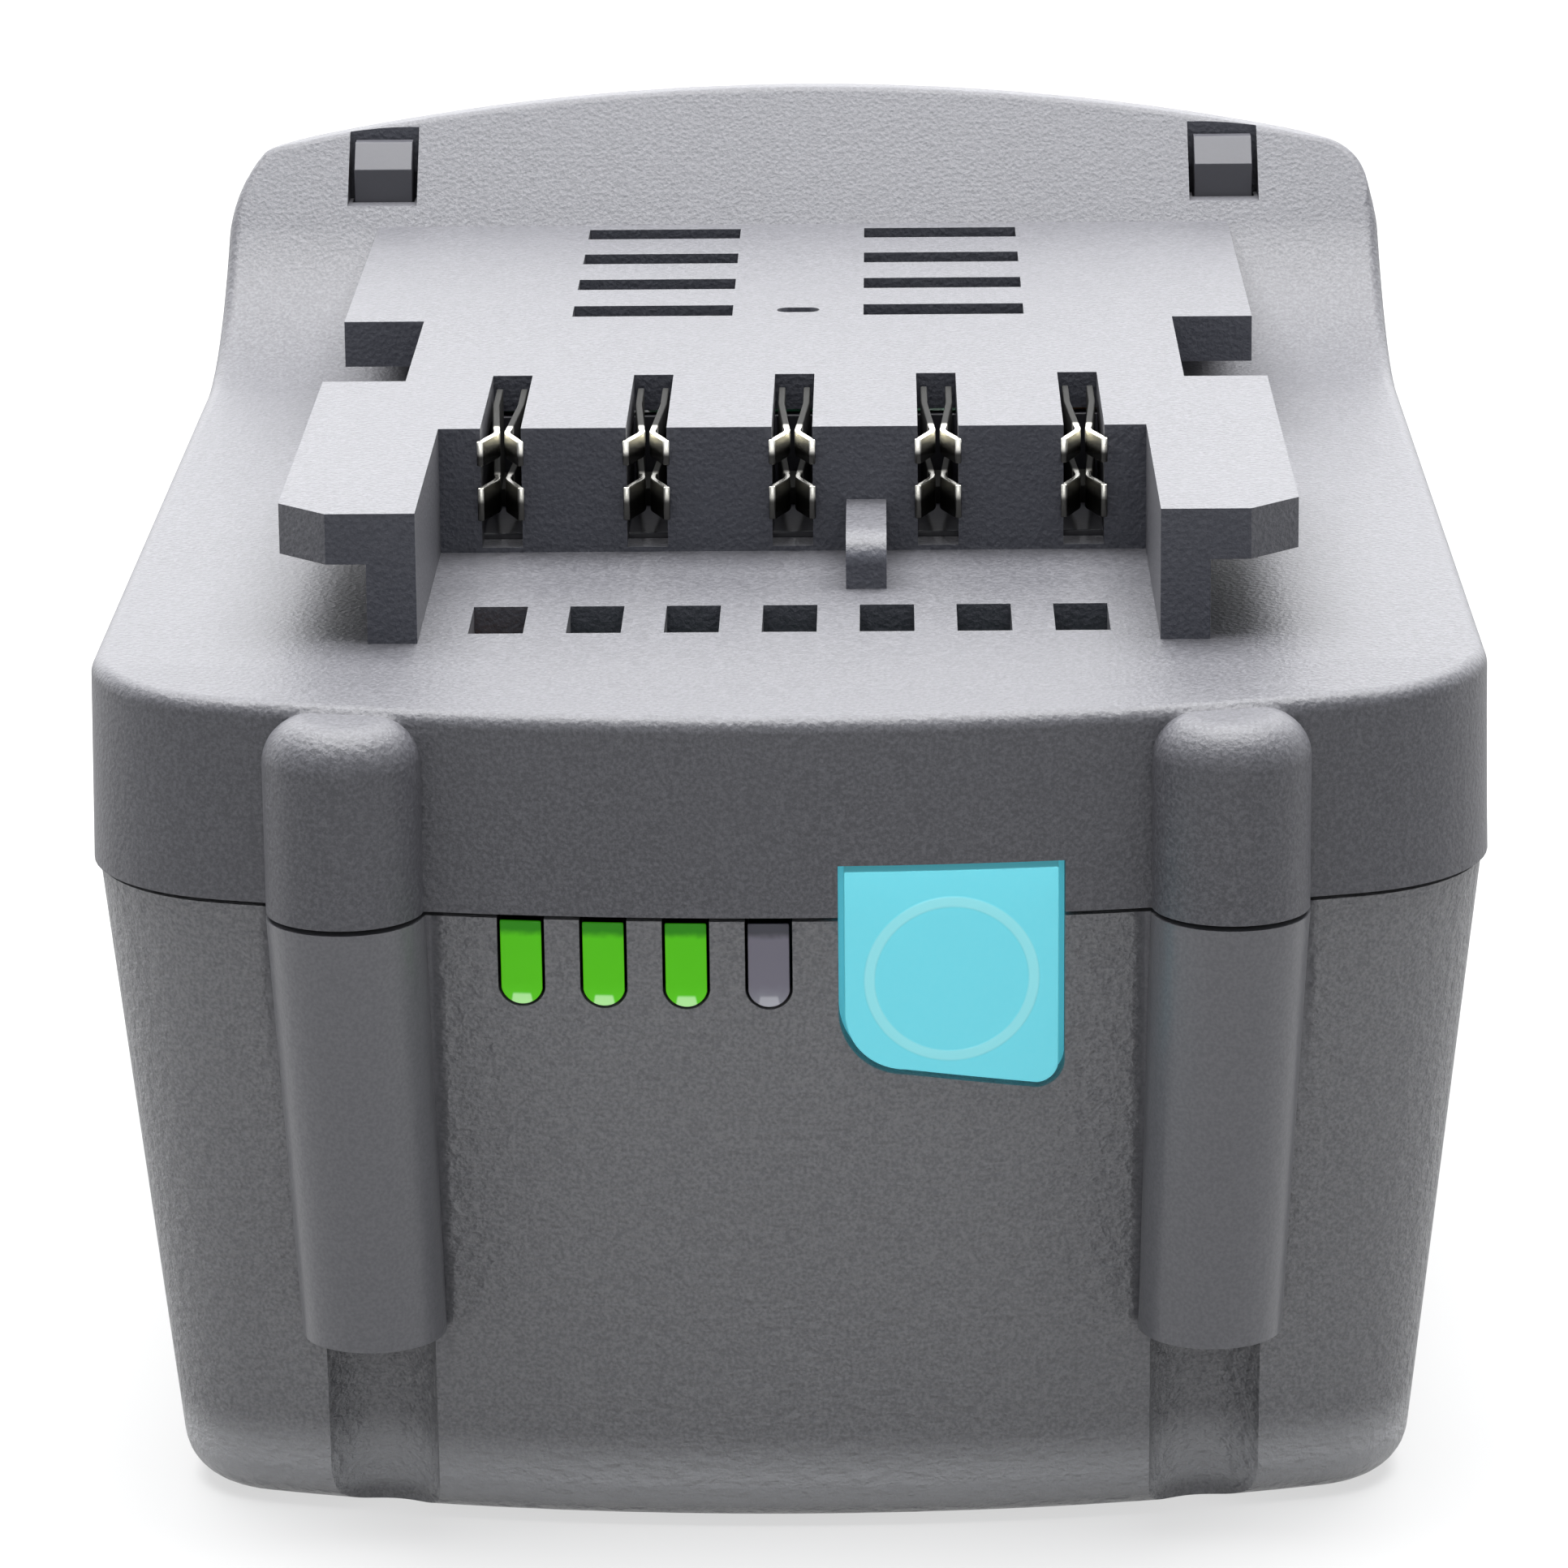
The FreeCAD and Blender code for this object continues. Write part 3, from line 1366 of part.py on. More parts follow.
# Release latch: thumb pad, crossbar with two catches, and two springs
release_button = new_body("release_button")
pad_low = size("recess_low") + "latch_travel" + "pad_gap"
pad_high = size("recess_high") - "pad_gap"
pad_half = size("recess_half") - "pad_gap"
pad_face = size("recess_floor") + "pad_rise"
outline = rounded(-pad_half, pad_low, pad_half, pad_high, size("recess_corner") - "pad_gap")
pad(release_button, "XZ", "thumb_pad", [outline], size("recess_floor") + "fit_gap", pad_face)
grips = []
grip_half, grip_corner = pad_half - "grip_inset", size("grip_width") * 0.45
for i in range(4):
    low = pad_low + "grip_first" + size("grip_pitch") * i
    grips.append(rounded(-grip_half, low, grip_half, low + "grip_width", grip_corner))
pad(release_button, "XZ", "grips", grips, pad_face - "grip_rise", pad_face + "grip_rise")
stems = []
stem_low, stem_high = size("bar_low") + "fit_gap", size("bar_high") - "fit_gap"
for name, sign in SIDES:
    reach = size("stem_width") / 2
    inner, outer = (size("stem_across") - reach) * sign, (size("stem_across") + reach) * sign
    stems.append(rectangle(inner, stem_low, outer, stem_high))
pad(release_button, "XZ", "stems", stems, "bar_rear", size("recess_floor") + LAP)

latch_bar = new_body("latch_bar")
bar_half = size("bar_half")
bar_outline = rectangle(-bar_half, "bar_low", bar_half, "bar_high")
pad(latch_bar, "XZ", "crossbar", [bar_outline], "bar_front", "bar_rear")
catch_high = top - "catch_drop"
catch_side = [
    ("bar_front", size("bar_high") - LAP),
    ("bar_rear", size("bar_high") - LAP),
    ("bar_rear", catch_high),
    (size("bar_front") + "catch_bevel", catch_high),
    ("bar_front", catch_high - "catch_bevel"),
]
for name, sign in SIDES:
    inner, outer = (bar_half - "lug_width") * sign, bar_half * sign
    pad(latch_bar, "YZ", "catch_" + name, [catch_side], inner, outer)
pegs = [circle(size("spring_across") * sign, bar_middle, "peg_radius") for name, sign in SIDES]
pad(latch_bar, "XY", "spring_pegs", pegs, size("bar_low") + LAP, size("bar_low") - "peg_reach")

HEIGHT_AND_TURNS = 2
SPRING_TURNS = 5
wire, foot = size("spring_wire"), size("ledge_high")
springs = []
for name, sign in SIDES:
    spring = new_body("latch_spring_" + name)
    inner, outer = size("spring_coil") - wire, size("spring_coil") + wire
    section = [rectangle(inner, foot, outer, foot + wire * 2)]
    drawn = sketch(spring, "XZ", spring.Label + "_section", section, bar_middle)
    drawn.AttachmentOffset.Base.x = (size("spring_across") * sign).number
    drawn.setExpression("AttachmentOffset.Base.x", (size("spring_across") * sign).text)
    coil = spring.newObject("PartDesign::AdditiveHelix", spring.Label + "_coil")
    coil.Profile = drawn
    coil.ReferenceAxis = (drawn, ["V_Axis"])
    coil.Mode = HEIGHT_AND_TURNS
    coil.Turns = SPRING_TURNS
    bind(coil, "Height", size("bar_low") - foot - wire * 2)
    drawn.Visibility = False
    springs.append(spring)

pieces = [
    upper_shell,
    lower_shell,
    case_screws,
    charge_button,
    indicator_board,
    indicator_lamps,
    switch_body,
    switch_plunger,
    indicator_ribbon,
    frame_pads,
    temperature_sensor,
    main_board,
    board_screws,
    terminal_holder,
    strap_plus,
    strap_minus,
    capacitors,
    release_button,
    latch_bar,
]
pieces += board_parts + windows + cells + frames + link_plates + sheets + contacts + springs

doc.recompute()
for thing in doc.Objects:
    if "Invalid" in thing.State or "Error" in thing.State:
        raise SystemExit("%s could not be built" % thing.Label)
for piece in pieces:
    if piece.Shape.isNull() or not piece.Shape.isValid():
        raise SystemExit("%s has no sound shape" % piece.Label)
    piece.Shape.exportStep("parts/" + piece.Label + ".step")
print(len(pieces), "pieces")
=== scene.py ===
import json
import math

import bmesh
import bpy
from mathutils import Matrix, Vector


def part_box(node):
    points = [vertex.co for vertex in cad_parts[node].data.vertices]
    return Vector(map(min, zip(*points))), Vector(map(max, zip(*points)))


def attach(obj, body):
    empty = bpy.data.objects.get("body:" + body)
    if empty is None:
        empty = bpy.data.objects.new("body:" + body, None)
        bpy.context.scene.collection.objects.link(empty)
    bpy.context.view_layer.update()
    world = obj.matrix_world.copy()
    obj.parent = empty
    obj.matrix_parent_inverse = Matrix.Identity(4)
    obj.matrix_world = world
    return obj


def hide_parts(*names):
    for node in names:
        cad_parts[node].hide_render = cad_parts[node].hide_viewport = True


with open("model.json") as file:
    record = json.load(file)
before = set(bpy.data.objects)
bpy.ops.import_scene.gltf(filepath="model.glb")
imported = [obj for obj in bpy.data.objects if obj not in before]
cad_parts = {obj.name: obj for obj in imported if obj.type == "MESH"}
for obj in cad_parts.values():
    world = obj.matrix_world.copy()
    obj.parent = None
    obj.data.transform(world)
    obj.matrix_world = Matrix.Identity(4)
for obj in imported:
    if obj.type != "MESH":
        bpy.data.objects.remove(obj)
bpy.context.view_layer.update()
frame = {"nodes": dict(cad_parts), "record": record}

# Camera, floor and studio light
# A long lens stands in front of the display end and looks down a little along the pack.
# Soft lamps hang over and behind it, so the upward faces catch a broad pale sheen.
MM = 0.001
PITCH, YAW, ROLL = (math.radians(angle) for angle in (15.079, -0.857, -0.563))
SENSOR_WIDTH, FOCAL_LENGTH = 36, 163.18
CAMERA_PLACE = Vector((5.453, -427.11, 144.547)) * MM
NEAREST_SEEN, FURTHEST_SEEN = 0.01, 20
FLOOR_REACH = 3.0
FLOOR_GREY = (0.2, 0.2, 0.2, 1)
SEEN_GLOW, MIRRORED_GLOW = 0.62, 1.0
LAMP_TARGET = Vector((0, 0, 0.04))
scene = bpy.context.scene


def link(thing):
    scene.collection.objects.link(thing)
    return thing


ahead = Vector((math.sin(YAW) * math.cos(PITCH), math.cos(YAW) * math.cos(PITCH), -math.sin(PITCH)))
level_right = Vector((math.cos(YAW), -math.sin(YAW), 0))
level_up = level_right.cross(ahead)
right = math.cos(ROLL) * level_right + math.sin(ROLL) * level_up
up = -math.sin(ROLL) * level_right + math.cos(ROLL) * level_up
camera = link(bpy.data.objects.new("camera", bpy.data.cameras.new("camera")))
camera.data.sensor_width = SENSOR_WIDTH
camera.data.lens = FOCAL_LENGTH
camera.data.clip_start = NEAREST_SEEN
camera.data.clip_end = FURTHEST_SEEN
camera.matrix_world = Matrix.Translation(CAMERA_PLACE) @ Matrix((right, up, -ahead)).transposed().to_4x4()
scene.camera = camera
scene.view_settings.view_transform = "Standard"


class Wire:
    """A number, colour or shader travelling between nodes, with the usual arithmetic."""

    def __init__(self, owner, socket):
        self.owner = owner
        self.socket = socket

    def maths(self, operation, *others):
        inputs = dict(enumerate((self,) + others))
        return self.owner.node("ShaderNodeMath", inputs, operation=operation)

    def __add__(self, other):
        return self.maths("ADD", other)

    def __sub__(self, other):
        return self.maths("SUBTRACT", other)

    def __mul__(self, other):
        return self.maths("MULTIPLY", other)

    def __truediv__(self, other):
        return self.maths("DIVIDE", other)

    def __pow__(self, other):
        return self.maths("POWER", other)

    def __neg__(self):
        return self.maths("MULTIPLY", -1)

    def __radd__(self, other):
        return self.maths("ADD", other)

    def __rsub__(self, other):
        return self.maths("MULTIPLY_ADD", -1, other)

    def __rmul__(self, other):
        return self.maths("MULTIPLY", other)

    def size(self):
        return self.maths("ABSOLUTE")

    def step(self, low, high):
        """0 below low, 1 above high, smooth between."""
        inputs = {"Value": self, "From Min": low, "From Max": high}
        return self.owner.node("ShaderNodeMapRange", inputs, interpolation_type="SMOOTHSTEP")


class Nodes:
    """The nodes of one material or of the world."""

    def __init__(self, thing):
        thing.use_nodes = True
        self.nodes = thing.node_tree.nodes
        self.links = thing.node_tree.links

    def fill(self, socket, value):
        """Links a wire to a socket, or writes a plain value on it."""
        if isinstance(value, Wire):
            self.links.new(value.socket, socket)
        else:
            socket.default_value = value

    def node(self, kind, inputs=None, output=0, **settings):
        made = self.nodes.new(kind)
        for name, value in settings.items():
            setattr(made, name, value)
        for key, value in (inputs or {}).items():
            self.fill(made.inputs[key], value)
        return Wire(self, made.outputs[output])

    def by_ray(self, lighting, mirrored, seen):
        """One look that lights the object, one for its mirrors and glass, one for the camera."""
        in_mirror = self.node("ShaderNodeLightPath", output="Is Glossy Ray")
        in_glass = self.node("ShaderNodeLightPath", output="Is Transmission Ray")
        to_camera = self.node("ShaderNodeLightPath", output="Is Camera Ray")
        inputs = {0: in_mirror.maths("MAXIMUM", in_glass), 1: lighting, 2: mirrored}
        reflected = self.node("ShaderNodeMixShader", inputs)
        return self.node("ShaderNodeMixShader", {0: to_camera, 1: reflected, 2: seen})


class Finish(Nodes):
    """One material, with the patterns that the finishes are made of."""

    def __init__(self, name):
        self.material = bpy.data.materials.new(name)
        super().__init__(self.material)
        self.shader = self.nodes["Principled BSDF"]

    def surface(self, **inputs):
        """Sets the shader's sockets."""
        for name, value in inputs.items():
            self.fill(self.shader.inputs[name.replace("_", " ")], value)

    def place(self):
        """Where a point lies on the pack, in metres."""
        return self.node("ShaderNodeTexCoord", output="Object")

    def along(self, letter):
        return self.node("ShaderNodeSeparateXYZ", {0: self.place()}, output="XYZ".index(letter))

    def facing(self, letter):
        """How far a face looks along an axis, from -1 to 1."""
        normal = self.node("ShaderNodeNewGeometry", output="Normal")
        return self.node("ShaderNodeSeparateXYZ", {0: normal}, output="XYZ".index(letter))

    def grain(self, size_mm, detail=2.0, rough=0.5, stretch=(1, 1, 1)):
        """Cloudy noise with features of that size."""
        where = self.node("ShaderNodeMapping", {"Vector": self.place(), "Scale": stretch})
        inputs = {"Vector": where, "Scale": 1 / (size_mm * MM), "Detail": detail, "Roughness": rough}
        return self.node("ShaderNodeTexNoise", inputs)

    def cells(self, size_mm):
        """Rounded cells, like leather or spark-worked steel."""
        inputs = {"Vector": self.place(), "Scale": 1 / (size_mm * MM)}
        return self.node("ShaderNodeTexVoronoi", inputs, output="Distance")

    def blend(self, share, first, second):
        """A colour between two others."""
        return self.node("ShaderNodeMix", {0: share, 6: first, 7: second}, output=2, data_type="RGBA")

    def bumped(self, height, depth_mm, strength):
        inputs = {"Height": height, "Distance": depth_mm * MM, "Strength": strength}
        return self.node("ShaderNodeBump", inputs, output="Normal")


def grey(value, blue):
    return (value, value, value * blue, 1)


matte = Finish("floor_white")
matte.surface(Base_Color=FLOOR_GREY, Roughness=1.0)
unlit = Wire(matte, matte.shader.outputs[0])
mirrored_glow = matte.node("ShaderNodeEmission", {"Strength": MIRRORED_GLOW})
seen_glow = matte.node("ShaderNodeEmission", {"Strength": SEEN_GLOW})
glowing = matte.node("ShaderNodeAddShader", {0: unlit, 1: seen_glow})
matte.fill(matte.nodes["Material Output"].inputs["Surface"], matte.by_ray(unlit, mirrored_glow, glowing))
floor = link(bpy.data.objects.new("floor", bpy.data.meshes.new("floor")))
floor_corners = [(-FLOOR_REACH, -FLOOR_REACH, 0), (FLOOR_REACH, -FLOOR_REACH, 0)]
floor_corners += [(FLOOR_REACH, FLOOR_REACH, 0), (-FLOOR_REACH, FLOOR_REACH, 0)]
floor.data.from_pydata(floor_corners, [], [(0, 1, 2, 3)])
floor.data.materials.append(matte.material)

world = bpy.data.worlds.new("studio")
scene.world = world
sky = Nodes(world)
sky.nodes.remove(sky.nodes["Background"])
sky_looks = [
    sky.node("ShaderNodeBackground", {"Color": colour, "Strength": strength})
    for colour, strength in (
        ((0.82, 0.88, 1.0, 1), 0.17),
        ((0.93, 0.96, 1.0, 1), 0.75),
        ((1.0, 1.0, 1.0, 1), 1.0),
    )
]
sky.fill(sky.nodes["World Output"].inputs["Surface"], sky.by_ray(*sky_looks))

for name, place, (width, height), power in (
    ("lamp_above", (0.0, 0.1, 0.75), (0.9, 0.7), 20.0),
    ("lamp_behind", (0.0, 1.1, 0.5), (2.0, 0.9), 16.0),
    ("lamp_left", (-0.8, -0.35, 0.3), (0.3, 0.5), 0.35),
    ("lamp_right", (0.8, -0.35, 0.3), (0.3, 0.5), 0.35),
    ("lamp_rim_left", (-0.9, 0.55, 0.2), (0.5, 0.8), 3.0),
    ("lamp_rim_right", (0.9, 0.55, 0.2), (0.5, 0.8), 2.0),
    ("lamp_front", (0.0, -1.0, 0.3), (0.35, 0.5), 1.2),
):
    light = bpy.data.lights.new(name, "AREA")
    light.shape = "RECTANGLE"
    light.size, light.size_y = width, height
    light.energy = power
    aim = (LAMP_TARGET - Vector(place)).to_track_quat("-Z", "Y").to_matrix().to_4x4()
    link(bpy.data.objects.new(name, light)).matrix_world = Matrix.Translation(place) @ aim

# Upper housing
# The upper half of the case is a moulding in dark grey glass-filled plastic.
# Its mould was spark-worked, which leaves a fine even speckle on every outer face.
JOIN_GAP = 0.001 * MM
FLAT_ANGLE, EDGE_ANGLE = math.radians(0.4), math.radians(28)
FLAT_FACE_WEIGHT = 100
HOUSING_DARK, HOUSING_LIGHT = grey(0.062, 1.14), grey(0.132, 1.1)
HOUSING_WORN, HOUSING_PAINTED_SHADE = grey(0.098, 1.12), (0.026, 0.030, 0.048, 1)
SPECKLE_SIZE, PIT_SIZE, CLOUD_SIZE = 0.22, 0.34, 14
BAY_FRONT, BAY_STARTS = -50, -46
slots = {row["node"]: row["material_slot"] for row in frame["record"]["subparts"]}
riders = {node: "pack" for node in slots}
riders.update(charge_button="button", switch_plunger="plunger", release_button="release", latch_bar="release")


def settled(piece):
    """The piece with its modifiers worked into the mesh."""
    bpy.context.view_layer.update()
    graph = bpy.context.evaluated_depsgraph_get()
    made = bpy.data.meshes.new_from_object(piece.evaluated_get(graph), depsgraph=graph)
    piece.modifiers.clear()
    piece.data = made
    return piece


def broken_edges(node, name, finish, edge_mm, segments=2):
    """Puts a piece with small rounds along its sharp edges in place of the CAD node."""
    mesh = frame["nodes"][node].data.copy()
    mesh.name = name
    shape = bmesh.new()
    shape.from_mesh(mesh)
    bmesh.ops.remove_doubles(shape, verts=shape.verts, dist=JOIN_GAP)
    bmesh.ops.dissolve_limit(
        shape, angle_limit=FLAT_ANGLE, verts=shape.verts, edges=shape.edges, delimit={"NORMAL"}
    )
    shape.to_mesh(mesh)
    shape.free()
    for face in mesh.polygons:
        face.use_smooth = True
    piece = link(bpy.data.objects.new(name, mesh))
    bevel = piece.modifiers.new("edge_round", "BEVEL")
    bevel.width = edge_mm * MM
    bevel.segments = segments
    bevel.limit_method = "ANGLE"
    bevel.angle_limit = EDGE_ANGLE
    bevel.use_clamp_overlap = True
    evened = piece.modifiers.new("flat_faces", "WEIGHTED_NORMAL")
    evened.weight = FLAT_FACE_WEIGHT
    evened.keep_sharp = True
    settled(piece)
    piece.data.materials.clear()
    piece.data.materials.append(finish.material)
    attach(piece, riders[node])
    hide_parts(node)
    return piece


housing = Finish("housing_grey")
speckle = housing.grain(SPECKLE_SIZE, detail=3, rough=0.7)
pits = housing.cells(PIT_SIZE)
cloud = housing.grain(CLOUD_SIZE)
tone = housing.blend(speckle.step(0.35, 0.7), HOUSING_DARK, HOUSING_LIGHT)
tone = housing.blend(cloud.step(0.3, 0.7) * 0.25, tone, HOUSING_WORN)
# Walls inside the contact bay that face forward get painted shade: a darker, bluer tone stands in for the
# shadow there.
in_bay = (housing.along("Y") / MM).step(BAY_FRONT, BAY_STARTS)
painted_bay_wall_shade = (-housing.facing("Y")).step(0.6, 0.9) * in_bay
housing.surface(
    Base_Color=housing.blend(painted_bay_wall_shade * 0.6, tone, HOUSING_PAINTED_SHADE),
    Roughness=0.40 + speckle * 0.16,
    Normal=housing.bumped(speckle * 0.6 + pits * 0.4, 0.10, 0.7),
    IOR=1.5,
)
upper_housing = broken_edges("upper_shell", "upper_housing", housing, edge_mm=0.3)

# Keying rib
# A thin upright rib on the flange in front of the contacts keeps a wrong tool from sliding on.
# Its round top is set down here, to stay well below the upper edge of the contacts' slots.
FLANGE_TOP, RIB_TALL, RIB_SHORT = 48.5, 4.4, 3.1
RIB_LEFT, RIB_RIGHT, RIB_FRONT, RIB_REAR = 2.9, 5.8, -27.8, -17.3
RIB_CEILING = FLANGE_TOP + RIB_TALL + 0.2
for corner in upper_housing.data.vertices:
    across, along, level = corner.co / MM
    beside = RIB_LEFT < across < RIB_RIGHT and RIB_FRONT < along < RIB_REAR
    if beside and FLANGE_TOP < level < RIB_CEILING:
        corner.co.z = (FLANGE_TOP + (level - FLANGE_TOP) * RIB_SHORT / RIB_TALL) * MM

# Lower housing
# The lower half is the same plastic with a coarser leather grain on its walls.
# Its four screw columns were polished in the mould and stay smooth and shiny.
LOWER_DARK, LOWER_LIGHT, COLUMN_GREY = grey(0.155, 1.07), grey(0.255, 1.03), grey(0.125, 1.12)
BOTTOM_LIGHT_GREY, CHANNEL_BED_LIGHT, CHANNEL_SIDE_SHADE = grey(0.50, 1.03), grey(0.50, 1.06), grey(0.012, 1.2)
COLUMN_MIDDLE, COLUMN_REACH = 24.0, 5.2
END_WALL_FROM, END_WALL_TO = 50.5, 51.5
CHANNEL_MIDDLE, CHANNEL_HALF, CHANNEL_FADE, CHANNEL_TOP = 23.3, 3.3, 11.0, 12.2
BOTTOM_LIGHT_FULL, BOTTOM_LIGHT_TOP = 2.6, 6.0
lower = Finish("lower_housing_grey")
hide = lower.cells(0.75)
creases = lower.grain(0.55, detail=3, stretch=(0.55, 1, 1.4))
dust = lower.grain(0.2, detail=3)
height = lower.along("Z") / MM
from_middle = lower.along("X").size() / MM
towards_end = (lower.along("Y").size() / MM).step(END_WALL_FROM, END_WALL_TO)
forward = (-lower.facing("Y")).step(0.1, 0.6)
beside_column = (from_middle - COLUMN_MIDDLE).size() / COLUMN_REACH
walls = 1 - (1 - beside_column.step(0.85, 1.0)) * towards_end
from_channel = (from_middle - CHANNEL_MIDDLE).size() / CHANNEL_HALF
in_channel = (1 - height.step(CHANNEL_FADE, CHANNEL_TOP)) * towards_end
# The sides of each screw channel get painted shade: near black and partly metallic, so they reflect little.
painted_channel_side_shade = from_channel.step(0.30, 0.58) * (1 - from_channel.step(0.94, 1.02))
painted_channel_side_shade = painted_channel_side_shade * in_channel * height.step(0.8, 3.0)
# The middle of each screw channel gets painted light, stronger on faces that look forward.
painted_channel_bed_light = (1 - from_channel.step(0.25, 0.45)) * in_channel
# The bottom few millimetres of the walls get painted light, stronger where they face forward, standing in for
# light off the floor.
painted_bottom_light = (1 - height.step(BOTTOM_LIGHT_FULL, BOTTOM_LIGHT_TOP)) * height.step(0.4, 1.6) * (1 - painted_channel_side_shade)
tone = lower.blend(dust.step(0.3, 0.7), LOWER_DARK, LOWER_LIGHT)
tone = lower.blend((1 - walls) * 0.6, tone, COLUMN_GREY)
tone = lower.blend(painted_bottom_light * (0.45 + forward * 0.45), tone, BOTTOM_LIGHT_GREY)
tone = lower.blend(painted_channel_bed_light * (0.5 + forward * 0.45), tone, CHANNEL_BED_LIGHT)
lower.surface(
    Base_Color=lower.blend(painted_channel_side_shade * 0.7, tone, CHANNEL_SIDE_SHADE),
    Roughness=0.27 + walls * 0.09 + dust * 0.1,
    Metallic=painted_channel_side_shade * 0.5,
    Normal=lower.bumped((hide * 0.5 + creases + dust * 0.45) * (0.1 + walls * 0.9), 0.30, 0.9),
    IOR=1.5,
)
broken_edges("lower_shell", "lower_housing", lower, edge_mm=0.3)

# Charge button
# A smooth light-blue cap lies in the front wall, and pressing it lights the level windows.
# A thin pale ring on its face shows a finger where to push.
RING_RADIUS, RING_CORE, RING_HALF = 4.5, 0.216, 0.36
CAP_DEEP, CAP_PALE, RING_PALE = (0.19, 0.84, 0.98, 1), (0.21, 0.87, 0.99, 1), (0.42, 0.97, 1.0, 1)
low_corner, high_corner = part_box("charge_button")
blue = Finish("button_blue")
across = (blue.along("X") - (low_corner[0] + high_corner[0]) / 2) / MM
upward = (blue.along("Z") - (low_corner[2] + high_corner[2]) / 2) / MM
out = (across * across + upward * upward) ** 0.5
ring = 1 - (out - RING_RADIUS).size().step(RING_CORE, RING_HALF)
grain = blue.grain(0.3)
skin = blue.blend(grain, CAP_DEEP, CAP_PALE)
# The cap also glows faintly in its own blue: painted light that brightens it.
blue.surface(
    Base_Color=blue.blend(ring * 0.9, skin, RING_PALE),
    Emission_Color=skin,
    Emission_Strength=0.22,
    Roughness=0.30 + grain * 0.08,
    Normal=blue.bumped(ring + grain * 0.04, 0.08, 0.6),
    IOR=1.46,
)
broken_edges("charge_button", "button_cap", blue, edge_mm=0.35, segments=3)

# Level windows
# Four clear light guides stand in the lower housing below the seam, three of them lit green.
# Each is darker under the seam and lighter towards its round tip, where a small highlight is painted.
WINDOW_FIRST, WINDOW_PITCH = -14.6, 4.52
FACE_FULL, FACE_GONE = 1.0 * MM, 1.3 * MM
GAP_SHADE_BLACK = (0.0, 0.0, 0.0, 1)
window_corner, window_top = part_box("level_window_1")
window_low, window_high, window_face = window_corner[2], window_top[2], window_corner[1]


def window_finish(name, tip, middle, strip, glint, glow):
    """A light guide whose tone runs from its tip up to the strip under the seam."""
    made = Finish(name)
    up = (made.along("Z") - window_low) / (window_high - window_low)
    turns = ((made.along("X") / MM - WINDOW_FIRST) / WINDOW_PITCH + 0.5).maths("FRACT") - 0.5
    beside = turns.size() * WINDOW_PITCH
    haze = made.grain(0.6)
    # Everything but the front face, the sides and the collar around it, is painted black as shade in the gap
    # round the pane.
    face = 1 - (made.along("Y") - window_face).step(FACE_FULL, FACE_GONE)
    face = face * (-made.facing("Y")).step(0.25, 0.6)
    tone = made.blend((up + haze * 0.10).step(0.10, 0.40), tip, middle)
    tone = made.blend((up + haze * 0.06).step(0.84, 0.94), tone, strip)
    # A small painted highlight sits just above each round tip.
    painted_tip_glint = (1 - (beside + up).step(0.60, 0.75)) * up.step(0.05, 0.08) * (1 - up.step(0.17, 0.21))
    tone = made.blend(painted_tip_glint * 0.6, tone, glint)
    tone = made.blend(face, GAP_SHADE_BLACK, tone)
    made.surface(
        Base_Color=tone,
        Emission_Color=tone,
        Emission_Strength=glow,
        Roughness=0.16 + haze * 0.1,
        Normal=made.bumped(haze, 0.03, 0.3),
        Specular_IOR_Level=0.2,
    )
    return made


green = window_finish(
    "window_green",
    tip=(0.09, 0.52, 0.01, 1),
    middle=(0.075, 0.46, 0.004, 1),
    strip=(0.02, 0.20, 0.002, 1),
    glint=(0.62, 0.95, 0.50, 1),
    glow=0.5,
)
clear = window_finish(
    "window_clear",
    tip=(0.42, 0.42, 0.48, 1),
    middle=(0.27, 0.255, 0.31, 1),
    strip=(0.10, 0.10, 0.12, 1),
    glint=(0.85, 0.85, 0.90, 1),
    glow=0.0,
)
for number, finish in enumerate((green, green, green, clear), start=1):
    broken_edges("level_window_%d" % number, "window_pane_%d" % number, finish, edge_mm=0.12)

# Fork contacts and their holder
# Five forks of sprung nickel-plated strip stand in a black comb behind the slots in the deck.
# The strip was rolled lengthwise, so its fine scratches run along the pack.
FINGER_STEP = 2.8 * MM
EDGE_FROM, EDGE_TO, EDGE_ENDS = -1.0 * MM, -0.6 * MM, 0.3 * MM
LIT_FRONT_UNTIL, SHADE_FROM = 3.4 * MM, 4.6 * MM
NICKEL_SHADED, NICKEL_HIGHLIGHT = (0.012, 0.012, 0.011, 1), (0.90, 0.88, 0.80, 1)


def plain(name, colour, roughness, metallic=0.0, fleck_mm=0.3, stretch=(1, 1, 1), depth_mm=0.01):
    """A quiet finish: one colour that drifts a little, with a trace of surface."""
    made = Finish(name)
    fleck = made.grain(fleck_mm, stretch=stretch)
    smear = made.grain(fleck_mm * 14, stretch=stretch)
    darker = tuple(channel * 0.80 for channel in colour) + (1,)
    lighter = tuple(min(channel * 1.15, 1.0) for channel in colour) + (1,)
    made.surface(
        Base_Color=made.blend(fleck * 0.6 + smear * 0.4, darker, lighter),
        Roughness=roughness + fleck * 0.06 + smear * 0.06,
        Metallic=metallic,
        Normal=made.bumped(fleck, depth_mm, 0.4),
    )
    return made


nickel = Finish("contact_nickel")
scratches = nickel.grain(0.12, stretch=(1, 0.1, 1))
fork_low, fork_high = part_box("signal_contact_middle")
# Beyond the first few millimetres of each fork the nickel gets painted shade: near black, rough and not
# metallic.
lit_fork_front = (1 - (nickel.along("Y") - fork_low[1]).step(LIT_FRONT_UNTIL, SHADE_FROM)) * 0.98
under_top = nickel.along("Z") - fork_high[2]
under_second = under_top + FINGER_STEP
